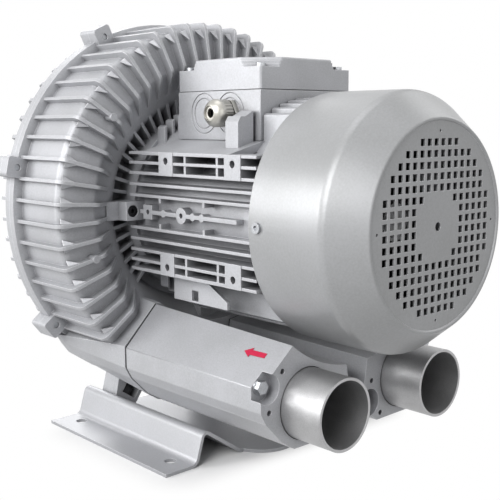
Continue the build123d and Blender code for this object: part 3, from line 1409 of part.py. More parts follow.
with BuildPart() as silencer_gasket_left:
    extrude(silencer_section(ROOT_Y, RIDGE_RISE), amount=GASKET_T)
    add(silencer_hollow.part, mode=Mode.SUBTRACT)
    add(tubes(EARS, 0, TIE_R + HOLE_GAP, END_Y, ROOT_Y + 1), mode=Mode.SUBTRACT)
save(silencer_gasket_left, "silencer_gasket_left")

with BuildPart() as silencer_gasket_right:
    mirror(silencer_gasket_left.part, about=Plane.YZ)
save(silencer_gasket_right, "silencer_gasket_right")

with BuildPart() as tie_bolts:
    for x, z in TIE_SPOTS:
        head = facing(-1, x, END_Y + EAR_POCKET_DEPTH, z)
        add(hex_bolt(head, TIE_R, ROOT_Y + TIE_GRIP - 3 - head.origin.Y, 13, 5.3, 8))
save(tie_bolts, "tie_bolts")

with BuildPart() as pipe_stub_left:
    add(tubes(PIPE, PIPE_R - PIPE_WALL, PIPE_R, END_Y - PIPE_REACH, END_Y))
    add(tubes(PIPE, PIPE_R - PIPE_WALL, PIPE_R - PIPE_STEP, END_Y, PIPE_TAIL_Y))
    add(tubes(PIPE, PIPE_R - PIPE_WALL, PIPE_R + PIPE_COLLAR, CAVITY_END_Y, PIPE_TAIL_Y))
save(pipe_stub_left, "pipe_stub_left")

with BuildPart() as pipe_stub_right:
    mirror(pipe_stub_left.part, about=Plane.YZ)
save(pipe_stub_right, "pipe_stub_right")

with BuildPart() as pipe_seals:
    for side in (-1, 1):
        rim = [(side * PIPE_X, PIPE_Z)]
        seal_r = PIPE_R - PIPE_STEP + FIT_GAP
        add(tubes(rim, seal_r, PIPE_R + PIPE_GAP - FIT_GAP, END_Y + 3, CAVITY_END_Y))
save(pipe_seals, "pipe_seals")

for side, label in ((-1, "left"), (1, "right")):
    pipe = [(side * PIPE_X, PIPE_Z)]
    with BuildPart() as mesh_tube:
        add(tubes(pipe, FOAM_IN_R, FOAM_IN_R + MESH_T, PIPE_TAIL_Y + 1, ROOT_Y - 0.5))
    save(mesh_tube, f"mesh_tube_{label}")
    with BuildPart() as foam_sleeve:
        add(tubes(pipe, FOAM_IN_R + MESH_T + 0.1, FOAM_OUT_R, PIPE_TAIL_Y + 1, ROOT_Y - 0.5))
    save(foam_sleeve, f"foam_sleeve_{label}")
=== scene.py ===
"""Looks of a side channel blower: silver enamel castings, bare pipes and zinc plated screws.

A length whose name ends in mm, and what is worked out from it, is in millimetres until MM turns it
into metres. The studio's lengths are in metres from the start. Places are given in the frame of the
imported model: Z up, the motor axis along Y, the fan cowl at the negative end.
"""

import json
import logging
import math
from dataclasses import dataclass
from enum import Enum

import bmesh
import bpy
import numpy as np
from mathutils import Matrix


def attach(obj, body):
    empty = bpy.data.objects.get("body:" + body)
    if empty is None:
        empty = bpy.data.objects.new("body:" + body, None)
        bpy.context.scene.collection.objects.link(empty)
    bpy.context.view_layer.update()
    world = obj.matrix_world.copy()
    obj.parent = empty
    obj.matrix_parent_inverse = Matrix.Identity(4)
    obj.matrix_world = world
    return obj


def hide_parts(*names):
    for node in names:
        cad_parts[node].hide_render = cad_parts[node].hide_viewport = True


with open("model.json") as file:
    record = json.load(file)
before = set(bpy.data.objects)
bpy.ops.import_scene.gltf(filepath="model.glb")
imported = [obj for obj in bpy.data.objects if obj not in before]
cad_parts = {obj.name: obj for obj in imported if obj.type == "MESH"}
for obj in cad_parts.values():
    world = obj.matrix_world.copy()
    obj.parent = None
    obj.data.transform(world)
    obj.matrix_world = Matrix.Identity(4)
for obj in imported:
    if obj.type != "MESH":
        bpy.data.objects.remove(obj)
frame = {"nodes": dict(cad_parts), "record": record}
LOG = logging.getLogger("blower")
MM = 0.001
AXIS_MM = 288.0  # height of the motor axis
SIDES = ("left", "right")

NOISE_ROUGHNESS = 0.55  # how much each finer octave of a noise keeps
SPECK_SHARE = 0.45  # part of the wander of a colour that is specks, the rest is patches
SPECK_SIZE = 0.7  # width of a speck against a grain
PURE_SHADES = (0.38, 0.62)  # noise values from which a colour is one shade only
RUB_AND_HIGHLIGHT_COSINES = (0.995, 0.88)  # cosine between face and rounded edge where wear and painted highlight start and are full
CHIP_AND_GLINT_MM = 7.0  # length of a stretch of an edge that is worn and painted with a highlight
CHIP_AND_GLINT_LEAST = 0.35  # what is left of the wear and painted highlight between two stretches
OPEN_AIR = (0.2, 0.8)  # share of open air at which painted corner shade is full and is gone
CORNER_SHADE_COLOUR = "#3E3D42"  # dark grey of the shade painted into deep corners
BUMP_STRENGTH = 0.6  # part of a grain's height that shades the surface
RAY_SAMPLES = 6  # short rays per point that look for edges and for open air


def linear(hex_colour: str) -> tuple[float, float, float, float]:
    """Turns an sRGB hex colour into the linear values that Blender's sockets take.

    Args:
        hex_colour: Six digits with a leading hash sign.

    Returns:
        Linear red, green and blue, and an alpha of one.
    """
    digits = hex_colour.lstrip("#")
    values = [int(digits[i : i + 2], 16) / 255 for i in (0, 2, 4)]
    red, green, blue = [
        v / 12.92 if v <= 0.04045 else ((v + 0.055) / 1.055) ** 2.4 for v in values
    ]
    return (red, green, blue, 1.0)


def add_node(
    tree: bpy.types.NodeTree, kind: str, settings: dict | None = None, links: dict | None = None
) -> bpy.types.Node:
    """Adds one shader node, sets its values and joins its inputs.

    Args:
        tree: Node tree that gets the node.
        kind: Blender's name of the node type, without its ShaderNode prefix.
        settings: Values by property name, or by input name or number.
        links: Output sockets by the name or number of the input that they feed.

    Returns:
        The new node.
    """
    node = tree.nodes.new("ShaderNode" + kind)
    for key, value in (settings or {}).items():
        if isinstance(key, str) and hasattr(node, key):
            setattr(node, key, value)
        else:
            node.inputs[key].default_value = value
    for key, socket in (links or {}).items():
        tree.links.new(socket, node.inputs[key])
    return node


class Grain(Enum):
    """How a pattern is stretched: the length of a grain along X, Y and Z against its width."""

    EVEN = (1.0, 1.0, 1.0)
    ROUND_AXIS = (6.0, 0.35, 6.0)
    STACKED = (60.0, 1.0, 60.0)


@dataclass(frozen=True)
class Finish:
    """One real material with the way its surface was made.

    The colour wanders between two shades over patches, a fine grain raises or dulls the surface,
    sharp edges are read as rounded by the edge radius and are painted a lighter tone, both for
    wear and as a painted highlight, and shade is painted into the deep corners.

    Attributes:
        name: Name of the material.
        colour: The lighter shade.
        shade: The darker shade.
        roughness: Roughness in the middle of its swing.
        metallic: How metallic the surface is, from 0 to 1.
        patch_mm: Width of a patch of one shade.
        grain_mm: Width of a grain.
        grain_height_mm: Height of a grain.
        grain_gloss: How far the grain swings the roughness to either side.
        grain: How the grains are stretched.
        edge_mm: Radius that sharp edges seem to have.
        rubbed_and_highlighted: Lighter colour painted on the edges, for wear and as a painted
            highlight, or nothing for plain edges.
        corner_shade: Share of shade painted into the deepest corners.
        corner_shade_reach_mm: How far open air is looked for around a point, for the painted corner
            shade.
    """

    name: str
    colour: str
    shade: str
    roughness: float
    metallic: float = 0.0
    patch_mm: float = 40.0
    grain_mm: float = 2.0
    grain_height_mm: float = 0.05
    grain_gloss: float = 0.06
    grain: Grain = Grain.EVEN
    edge_mm: float = 0.8
    # Lighter colour painted on edges, for wear and as a painted highlight
    rubbed_and_highlighted: str = ""
    # Shade painted into deep corners, and how far it looks for open air
    corner_shade: float = 0.0
    corner_shade_reach_mm: float = 14.0

    def noise(
        self, tree: bpy.types.NodeTree, size_mm: float, grain: Grain, detail: float
    ) -> bpy.types.NodeSocket:
        """Cloudy noise whose cells measure size_mm across.

        Args:
            tree: Node tree of the material.
            size_mm: Width of one cell.
            grain: How the cells are stretched.
            detail: Octaves of finer noise on top.

        Returns:
            The factor socket, from 0 to 1.
        """
        place = add_node(tree, "TexCoord")
        settings = {"vector_type": "POINT", "Scale": tuple(1 / s for s in grain.value)}
        placed = add_node(tree, "Mapping", settings, {"Vector": place.outputs["Object"]})
        settings = {"Scale": 1 / (size_mm * MM), "Detail": detail, "Roughness": NOISE_ROUGHNESS}
        return add_node(tree, "TexNoise", settings, {"Vector": placed.outputs[0]}).outputs[0]

    def base(self, tree: bpy.types.NodeTree) -> bpy.types.NodeSocket:
        """Colour of the surface: two shades that mix over patches, with a fine speckle.

        Args:
            tree: Node tree of the material.

        Returns:
            The colour socket.
        """
        patches = self.noise(tree, self.patch_mm, Grain.EVEN, 3)
        specks = self.noise(tree, self.grain_mm * SPECK_SIZE, Grain.EVEN, 1)
        settings = {"data_type": "FLOAT", 0: SPECK_SHARE}
        both = add_node(tree, "Mix", settings, {2: patches, 3: specks})
        settings = {"From Min": PURE_SHADES[0], "From Max": PURE_SHADES[1]}
        ramp = add_node(tree, "MapRange", settings, {"Value": both.outputs[0]})
        settings = {"data_type": "RGBA", 6: linear(self.shade), 7: linear(self.colour)}
        return add_node(tree, "Mix", settings, {0: ramp.outputs[0]}).outputs[2]

    def rub_and_highlight_edges(
        self, tree: bpy.types.NodeTree, colour: bpy.types.NodeSocket, rounded: bpy.types.NodeSocket
    ) -> bpy.types.NodeSocket:
        """Paints the edges lighter, as wear and as a painted highlight, where the rounded normal
        turns away from the face's own normal.

        Args:
            tree: Node tree of the material.
            colour: Colour so far.
            rounded: Normal with the edges rounded.

        Returns:
            The colour socket.
        """
        flat = add_node(tree, "NewGeometry").outputs["Normal"]
        turn = add_node(tree, "VectorMath", {"operation": "DOT_PRODUCT"}, {0: rounded, 1: flat})
        settings = {"From Min": RUB_AND_HIGHLIGHT_COSINES[0], "From Max": RUB_AND_HIGHLIGHT_COSINES[1]}
        edge = add_node(tree, "MapRange", settings, {"Value": turn.outputs["Value"]})
        chips_and_glints = self.noise(tree, CHIP_AND_GLINT_MM, Grain.EVEN, 2)
        uneven = add_node(tree, "MapRange", {"To Min": CHIP_AND_GLINT_LEAST}, {"Value": chips_and_glints})
        both = {0: edge.outputs[0], 1: uneven.outputs[0]}
        share = add_node(tree, "Math", {"operation": "MULTIPLY"}, both)
        settings = {"data_type": "RGBA", 7: linear(self.rubbed_and_highlighted)}
        return add_node(tree, "Mix", settings, {0: share.outputs[0], 6: colour}).outputs[2]

    def paint_corner_shade(self, tree: bpy.types.NodeTree, colour: bpy.types.NodeSocket) -> bpy.types.NodeSocket:
        """Paints shade into the deep corners, as far as open air is shut out within the shade's
        reach.

        Args:
            tree: Node tree of the material.
            colour: Colour so far.

        Returns:
            The colour socket.
        """
        settings = {"samples": RAY_SAMPLES, "Distance": self.corner_shade_reach_mm * MM}
        air = add_node(tree, "AmbientOcclusion", settings)
        full, none = OPEN_AIR
        settings = {"From Min": full, "From Max": none, "To Min": self.corner_shade, "To Max": 0.0}
        share = add_node(tree, "MapRange", settings, {"Value": air.outputs["AO"]})
        settings = {"data_type": "RGBA", 7: linear(CORNER_SHADE_COLOUR)}
        return add_node(tree, "Mix", settings, {0: share.outputs[0], 6: colour}).outputs[2]

    def material(self) -> bpy.types.Material:
        """Builds the finish as a Blender material, once.

        Returns:
            The material, named after the finish.
        """
        known = bpy.data.materials.get(self.name)
        if known is not None:
            return known
        made = bpy.data.materials.new(self.name)
        made.use_nodes = True
        tree = made.node_tree
        tree.nodes.clear()
        height = self.noise(tree, self.grain_mm, self.grain, 2)
        least, most = self.roughness - self.grain_gloss, self.roughness + self.grain_gloss
        gloss = add_node(tree, "MapRange", {"To Min": least, "To Max": most}, {"Value": height})
        settings = {"samples": RAY_SAMPLES, "Radius": self.edge_mm * MM}
        edge = add_node(tree, "Bevel", settings)
        settings = {"Strength": BUMP_STRENGTH, "Distance": self.grain_height_mm * MM}
        bump = add_node(tree, "Bump", settings, {"Height": height, "Normal": edge.outputs[0]})
        colour = self.base(tree)
        # Edges painted lighter, for wear and as a painted highlight
        if self.rubbed_and_highlighted:
            colour = self.rub_and_highlight_edges(tree, colour, edge.outputs[0])
        # Shade painted into the deep corners
        if self.corner_shade:
            colour = self.paint_corner_shade(tree, colour)
        shader = add_node(
            tree,
            "BsdfPrincipled",
            {"Metallic": self.metallic},
            {"Base Color": colour, "Roughness": gloss.outputs[0], "Normal": bump.outputs[0]},
        )
        add_node(tree, "OutputMaterial", None, {"Surface": shader.outputs[0]})
        made.diffuse_color = linear(self.colour)
        return made


class Finishes:
    """The finishes of this blower, one for each real material."""

    # Die cast aluminium, silver stove enamel: satin, pebbled skin, edges painted pale, painted
    # corner shade
    castings = Finish(
        "silver_enamel_on_casting", "#BABBBF", "#ADAEB1", 0.46, 0.3, 60, 2.4, 0.2, 0.08,
        edge_mm=0.9, rubbed_and_highlighted="#E8E8EB", corner_shade=0.6, corner_shade_reach_mm=18,
    )
    # Bent sheet steel under the same enamel: smoother, with less painted shade in its corners
    sheets = Finish(
        "silver_enamel_on_sheet", "#B6B7BB", "#ADAEB1", 0.42, 0.35, 90, 3.0, 0.05, 0.04,
        edge_mm=0.7, rubbed_and_highlighted="#E8E8EB", corner_shade=0.3, corner_shade_reach_mm=16,
    )
    # Deep drawn sheet steel under a darker enamel: smooth, one long soft highlight, edges painted
    # pale, painted corner shade
    cowl = Finish(
        "silver_enamel_on_pressed_cowl", "#A6A7A9", "#9D9E9F", 0.38, 0.3, 90, 3.0, 0.05, 0.04,
        edge_mm=0.7, rubbed_and_highlighted="#E8E8EB", corner_shade=0.3, corner_shade_reach_mm=16,
    )
    # Drawn aluminium tube, bare: dull silver with fine lines round the pipe, painted shade in its
    # corners
    pipes = Finish(
        "drawn_aluminium", "#B9B9BA", "#A5A5A6", 0.48, 0.9, 30, 1.2, 0.06, 0.1,
        Grain.ROUND_AXIS, 0.6, corner_shade=0.25, corner_shade_reach_mm=30,
    )
    # Die cast aluminium as it comes from the mould, inside the machine: grey and slightly cloudy
    raw_castings = Finish(
        "raw_die_cast_aluminium", "#B4B5B4", "#A0A1A0", 0.45, 1.0, 40, 2.0, 0.1, 0.08
    )
    # Bright zinc plate on rolled steel screws: pale with soft glints on the edges, painted corner
    # shade
    zinc = Finish(
        "zinc_plated_steel", "#BEC0C3", "#A4A6A9", 0.38, 1.0, 9, 1.0, 0.03, 0.1,
        edge_mm=0.5, corner_shade=0.4, corner_shade_reach_mm=5,
    )
    # Oiled black oxide on steel: near black with a low sheen
    oxide = Finish(
        "black_oxide_steel", "#3A3A3C", "#2A2A2B", 0.42, 0.85, 9, 1.0, 0.04, 0.1, edge_mm=0.5
    )
    # Ground carbon steel of the shaft and its rings: bright, with lines round the axis
    ground = Finish(
        "ground_steel", "#A5A6A7", "#909192", 0.25, 1.0, 20, 0.9, 0.02, 0.08,
        Grain.ROUND_AXIS, 0.5,
    )
    # Hardened bearing steel, polished: close to a mirror
    bearing = Finish(
        "polished_bearing_steel", "#BDBEC0", "#AEAFB1", 0.16, 1.0, 20, 1.0, 0.01, 0.04
    )
    # Punched electrical steel stacked along the axis: dark, with the edges of the sheets
    stack = Finish(
        "stacked_electrical_steel", "#5E6064", "#4C4E52", 0.5, 0.8, 30, 1.5, 0.2, 0.1,
        Grain.STACKED,
    )
    # Varnished copper wire wound round the axis: brown red with the ridges of the turns
    copper = Finish(
        "varnished_copper_wire", "#A4572C", "#7E3D1C", 0.35, 0.7, 8, 1.4, 0.4, 0.1, Grain.STACKED
    )
    # Turned brass studs: yellow and bright
    brass = Finish("turned_brass", "#C9A04A", "#B08A3C", 0.3, 1.0, 6, 0.8, 0.02, 0.08)
    # Nickel plated turned brass: bright with a faint yellow cast, painted shade in its corners
    nickel = Finish(
        "nickel_plated_brass", "#C4C2BC", "#AFADA6", 0.36, 1.0, 8, 0.9, 0.02, 0.06,
        edge_mm=0.5, corner_shade=0.7, corner_shade_reach_mm=6,
    )
    # Compressed fibre sheet between lid and box: a dull grey seam
    fibre = Finish("pale_fibre_gasket", "#8F9093", "#84858A", 0.8, 0.0, 10, 1.0, 0.05, 0.04)
    # Moulded nitrile rubber: dull black
    rubber = Finish("moulded_rubber", "#1C1C1C", "#151515", 0.7, 0.0, 12, 1.0, 0.05, 0.06)
    # Glass filled polyamide of the fan: black with a low sheen
    polyamide = Finish("black_polyamide", "#242526", "#1C1D1E", 0.55, 0.0, 20, 1.2, 0.05, 0.06)
    # Open cell acoustic foam: charcoal, without gloss
    foam = Finish("acoustic_foam", "#2E2F31", "#202123", 0.95, 0.0, 10, 2.0, 1.2, 0.04)
    # Perforated galvanised steel of the silencer tubes: grey, mottled by its holes
    mesh = Finish("perforated_steel", "#7D7F81", "#4A4B4D", 0.45, 0.8, 4, 3.0, 0.6, 0.1)
    # Screen printed vinyl of the flow arrow: flat crimson
    vinyl = Finish("crimson_vinyl", "#C8234A", "#BE1F43", 0.4, 0.0, 10, 1.0, 0.01, 0.04)


FINISH_OF_SLOT = {
    "painted_casting": Finishes.castings,
    "silver_paint": Finishes.sheets,
    "nickel_brass": Finishes.nickel,
    "bare_aluminium": Finishes.raw_castings,
    "zinc_steel": Finishes.zinc,
    "dark_steel": Finishes.oxide,
    "shaft_steel": Finishes.ground,
    "bearing_steel": Finishes.bearing,
    "laminations": Finishes.stack,
    "copper": Finishes.copper,
    "brass": Finishes.brass,
    "rubber": Finishes.rubber,
    "black_plastic": Finishes.polyamide,
    "foam": Finishes.foam,
}


def body_of_node(name: str) -> str:
    """Name of the body that a CAD node rides on.

    Args:
        name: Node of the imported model.

    Returns:
        A key of the record's bodies.
    """
    bodies = frame["record"]["behaviour"]["bodies"]
    return next(body for body, nodes in bodies.items() if name in nodes)


def smooth(mesh: bpy.types.Mesh, degrees: float) -> None:
    """Shades a mesh smooth, but for the edges that bend by more than an angle.

    Args:
        mesh: Mesh to shade.
        degrees: The angle.
    """
    mesh.polygons.foreach_set("use_smooth", np.ones(len(mesh.polygons), dtype=bool))
    mesh.set_sharp_from_angle(angle=math.radians(degrees))


def add_piece(
    name: str, points_mm: np.ndarray, faces: list[list[int]], finish: Finish
) -> bpy.types.Object:
    """Makes a piece from its corners and faces, and puts it in the scene at the origin.

    Args:
        name: Name of the piece and of its mesh.
        points_mm: Corners in millimetres, one in each row.
        faces: The numbers of each face's corners, counter-clockwise from outside.
        finish: What the piece is made of.

    Returns:
        The new piece.
    """
    mesh = bpy.data.meshes.new(name)
    mesh.from_pydata((points_mm * MM).tolist(), [], faces)
    mesh.materials.append(finish.material())
    piece = bpy.data.objects.new(name, mesh)
    bpy.context.collection.objects.link(piece)
    return piece


@dataclass
class Shell:
    """A CAD node shown as a welded copy, with some of its edges rounded.

    Corners nearer than weld_mm are joined, and faces that lie within flat_degrees of each other
    become one. An edge counts as bent above bend_degrees. Every bent edge longer than long_mm is
    rounded in full. A round bend in rings_mm is given by its radius about the motor axis, its
    place along it and its share of the full rounding, and its edges lie within near_mm of it.
    """

    node: str
    finish: Finish
    round_mm: float
    long_mm: float = math.inf
    rings_mm: tuple[tuple[float, float, float], ...] = ()
    weld_mm: float = 0.002
    flat_degrees: float = 0.4
    bend_degrees: float = 14.0
    near_mm: float = 0.3
    smooth_degrees: float = 32.0
    segments: int = 4

    def share(self, edge: bmesh.types.BMEdge) -> float:
        """How much of the full rounding an edge gets.

        Args:
            edge: Edge of the welded mesh.

        Returns:
            The share, from 0 to 1.
        """
        if not edge.is_manifold or edge.calc_face_angle(0) <= math.radians(self.bend_degrees):
            return 0.0
        middle = (edge.verts[0].co + edge.verts[1].co) / 2 / MM
        reach = math.hypot(middle.x, middle.z - AXIS_MM)
        for radius, along, share in self.rings_mm:
            if abs(reach - radius) < self.near_mm and abs(middle.y - along) < self.near_mm:
                return share
        return float(edge.calc_length() > self.long_mm * MM)

    def build(self) -> bpy.types.Object:
        """Copies the node's mesh, welds its corners, rounds its edges and hides the node.

        Returns:
            The shown copy, riding on the body of its node.
        """
        mesh = frame["nodes"][self.node].data.copy()
        mesh.name = self.node + "_shell"
        welded = bmesh.new()
        welded.from_mesh(mesh)
        bmesh.ops.remove_doubles(welded, verts=welded.verts, dist=self.weld_mm * MM)
        flat = math.radians(self.flat_degrees)
        bmesh.ops.dissolve_limit(welded, angle_limit=flat, verts=welded.verts, edges=welded.edges)
        weight = welded.edges.layers.float.new("bevel_weight_edge")
        for edge in welded.edges:
            edge[weight] = self.share(edge)
        welded.to_mesh(mesh)
        welded.free()
        # Normals that come with model.glb belong to the corners from before the weld
        packed = mesh.attributes.get("custom_normal")
        if packed is not None:
            mesh.attributes.remove(packed)
        smooth(mesh, self.smooth_degrees)
        mesh.materials.clear()
        mesh.materials.append(self.finish.material())
        shell = bpy.data.objects.new(self.node + "_shell", mesh)
        bpy.context.collection.objects.link(shell)
        rounded = shell.modifiers.new("rounded", "BEVEL")
        rounded.width = self.round_mm * MM
        rounded.segments = self.segments
        rounded.limit_method = "WEIGHT"
        rounded.harden_normals = True
        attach(shell, body_of_node(self.node))
        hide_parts(self.node)
        return shell


class SubAssembly:
    """Pieces of the blower that are finished together."""

    def shells(self) -> list[Shell]:
        """Nodes that are shown as welded copies."""
        return []

    def plain(self) -> dict[str, Finish]:
        """Nodes that are shown as they are, with the finish that each gets."""
        return {}

    def extras(self) -> list[bpy.types.Object]:
        """Pieces that only the looks have."""
        return []

    def build(self) -> None:
        """Dresses the nodes, builds the copies and the extra pieces, and reports each."""
        for name, finish in self.plain().items():
            mesh = frame["nodes"][name].data
            mesh.materials.clear()
            mesh.materials.append(finish.material())
            LOG.info("%s: %s", name, finish.name)
        for shell in self.shells():
            LOG.info("%s: %s", shell.build().name, shell.finish.name)
        for piece in self.extras():
            LOG.info("%s: %s", piece.name, piece.data.materials[0].name)


@dataclass
class Housing(SubAssembly):
    """The side channel ring, with the small pads that its ribs have where they bend.

    A corner of a pad is given by its radius, its distance from the rib's middle and its place
    along the axis.
    """

    first_rib_degrees: float = -36.4
    rib_pitch_degrees: float = 6.45
    rib_count: int = 41
    pad_corners_mm: tuple[tuple[float, float, float], ...] = (
        (214.8, 8.2, -12.4),
        (204.0, 1.9, -23.0),
        (216.2, 1.9, -16.0),
        (203.0, 1.9, -11.5),
    )

    def extras(self) -> list[bpy.types.Object]:
        """The pads on the ribs."""
        return [self.rib_pads()]

    def rib_pads(self) -> bpy.types.Object:
        """Makes the two pointed pads of every rib, one on each flank.

        A corner of a pad lies at a radius along the rib and at a distance to its side. In the
        ring it goes to the radius times the rib's direction plus that distance times the direction
        square to the rib. The pad is the pyramid between its four corners, and the pad on the
        other flank is its mirror image, with its faces turned round to keep them outwards.

        Returns:
            The pads of all ribs as one piece on the rear housing.
        """
        corners = np.array(self.pad_corners_mm)
        count = len(corners)
        radius, side, along = np.moveaxis(np.stack([corners, corners * (1, -1, 1)]), -1, 0)
        turns = self.first_rib_degrees + self.rib_pitch_degrees * np.arange(self.rib_count)
        turns = np.radians(turns)[:, None, None]
        across = radius * np.cos(turns) - side * np.sin(turns)
        up = AXIS_MM + radius * np.sin(turns) + side * np.cos(turns)
        points = np.stack([across, np.broadcast_to(along, across.shape), up], axis=-1)
        pad = np.array([(0, 1, 2), (0, 2, 3), (0, 3, 1), (1, 3, 2)])
        pair = np.concatenate([pad, pad[:, ::-1] + count])
        faces = pair + 2 * count * np.arange(self.rib_count)[:, None, None]
        faces = faces.reshape(-1, 3).tolist()
        pads = add_piece("rib_pads", points.reshape(-1, 3), faces, Finishes.castings)
        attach(pads, body_of_node("rear_housing"))
        return pads


@dataclass
class Motor(SubAssembly):
    """The motor, of which only the cowl is more than its nodes.

    A bend of the cowl is given by its radius, its place along the axis and its share of the
    largest rounding.
    """

    largest_round_mm: float = 5.0
    bends_mm: tuple[tuple[float, float, float], ...] = (
        (134.6, -330.9, 1.0),
        (107.0, -366.3, 0.22),
        (104.5, -366.3, 0.14),
    )

    def shells(self) -> list[Shell]:
        """The cowl, with the soft bends of pressed sheet."""
        return [Shell("fan_cowl", Finishes.cowl, self.largest_round_mm, rings_mm=self.bends_mm)]


@dataclass
class ConnectionBox(SubAssembly):
    """The box on the barrel with its lid and the cable gland.

    The lid's sides run up flush to its raised top, and its four corners step down to the screws.
    """

    lid_half_mm: tuple[float, float] = (71.2, 69.85)
    lid_middle_y_mm: float = -116.5
    lid_base_mm: float = 425.8
    lid_ledge_mm: float = 449.4
    lid_top_mm: float = 460.0
    lid_wall_mm: float = 4.0
    pocket_cut_mm: float = 28.3
    pocket_step_mm: float = 2.0
    pocket_steps: int = 3
    corner_mm: float = 2.0
    corner_points: int = 5
    edge_mm: float = 1.5
    edge_turn_degrees: tuple[float, ...] = (22.5, 45.0, 67.5, 90.0)
    smooth_degrees: float = 30.0
    box_round_mm: float = 2.0
    box_long_mm: float = 30.0

    def shells(self) -> list[Shell]:
        """The box, with rounded upright edges."""
        return [Shell("terminal_box", Finishes.castings, self.box_round_mm, self.box_long_mm)]

    def plain(self) -> dict[str, Finish]:
        """The gasket under the lid."""
        return {"box_gasket": Finishes.fibre}

    def extras(self) -> list[bpy.types.Object]:
        """The lid."""
        return [self.lid()]

    def ring(self, inset: float, cut: float, height: float) -> np.ndarray:
        """One level of the lid: a rectangle with its corners cut at 45 degrees and rounded.

        Every corner of the eight-sided outline becomes a quadratic curve. It starts and ends the
        reach away from the corner and has the corner as its middle control point: the corner, plus
        the reach times the square of what is left of the curve towards the corner before, plus the
        reach times the square of what is done of it towards the corner after. The reach is a third
        of the cut, and at most two thirds of corner_mm.

        Args:
            inset: How far the sides lie inside the lid's sides.
            cut: Length that the cut takes from each side.
            height: Level of the outline.

        Returns:
            Points in millimetres, counter-clockwise from above, as many for every level.
        """
        half_x, half_y = (half - inset for half in self.lid_half_mm)
        quarter = np.array([(half_x, half_y - cut), (half_x - cut, half_y)])
        turns = [quarter, quarter[::-1] * (-1, 1), quarter * (-1, -1), quarter[::-1] * (1, -1)]
        corners = np.concatenate(turns)
        reach = min(cut, 2 * self.corner_mm) / 3
        before = np.roll(corners, 1, axis=0) - corners
        after = np.roll(corners, -1, axis=0) - corners
        before /= np.linalg.norm(before, axis=1, keepdims=True)
        after /= np.linalg.norm(after, axis=1, keepdims=True)
        share = np.linspace(0, 1, self.corner_points)[None, :, None]
        arcs = corners[:, None] + reach * (
            (1 - share) ** 2 * before[:, None] + share**2 * after[:, None]
        )
        points = arcs.reshape(-1, 2) + (0, self.lid_middle_y_mm)
        return np.column_stack([points, np.full(len(points), height)])

    def lid(self) -> bpy.types.Object:
        """Makes the lid, a stack of outlines that are joined one to the next.

        The stack starts at the roof of the hollow, goes down its wall, out over the rim and up
        the outside to the ledge of the screws, in over the ledge, up the steps of the corners,
        and over the rounded edge to the top. A point of that edge at angle a lies inwards by the
        edge's radius times one minus the cosine of a, and upwards by the radius times its sine.

        Returns:
            The lid, in place of its node.
        """
        small, wall = self.corner_mm, self.lid_wall_mm
        levels = [
            self.ring(wall, small, self.lid_ledge_mm - wall),
            self.ring(wall, small, self.lid_base_mm),
            self.ring(0, small, self.lid_base_mm),
            self.ring(0, small, self.lid_ledge_mm),
        ]
        rise = (self.lid_top_mm - self.lid_ledge_mm) / self.pocket_steps
        for step in range(self.pocket_steps):
            cut = self.pocket_cut_mm + step * self.pocket_step_mm
            foot = self.lid_ledge_mm + step * rise
            last = step == self.pocket_steps - 1
            levels.append(self.ring(0, cut, foot))
            levels.append(self.ring(0, cut, foot + rise - last * self.edge_mm))
        for turn in np.radians(self.edge_turn_degrees):
            inset = self.edge_mm * (1 - math.cos(turn))
            lift = self.edge_mm * (math.sin(turn) - 1)
            levels.append(self.ring(inset, cut, self.lid_top_mm + lift))
        count, rows = len(levels[0]), len(levels)
        here = np.arange(count)
        there = (here + 1) % count
        quads = [
            np.column_stack([row + here, row + there, row + count + there, row + count + here])
            for row in range(0, (rows - 1) * count, count)
        ]
        faces = np.concatenate(quads).tolist()
        faces += [list(range((rows - 1) * count, rows * count)), list(range(count - 1, -1, -1))]
        lid = add_piece("box_lid_shell", np.concatenate(levels), faces, Finishes.castings)
        smooth(lid.data, self.smooth_degrees)
        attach(lid, body_of_node("box_lid"))
        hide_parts("box_lid")
        return lid


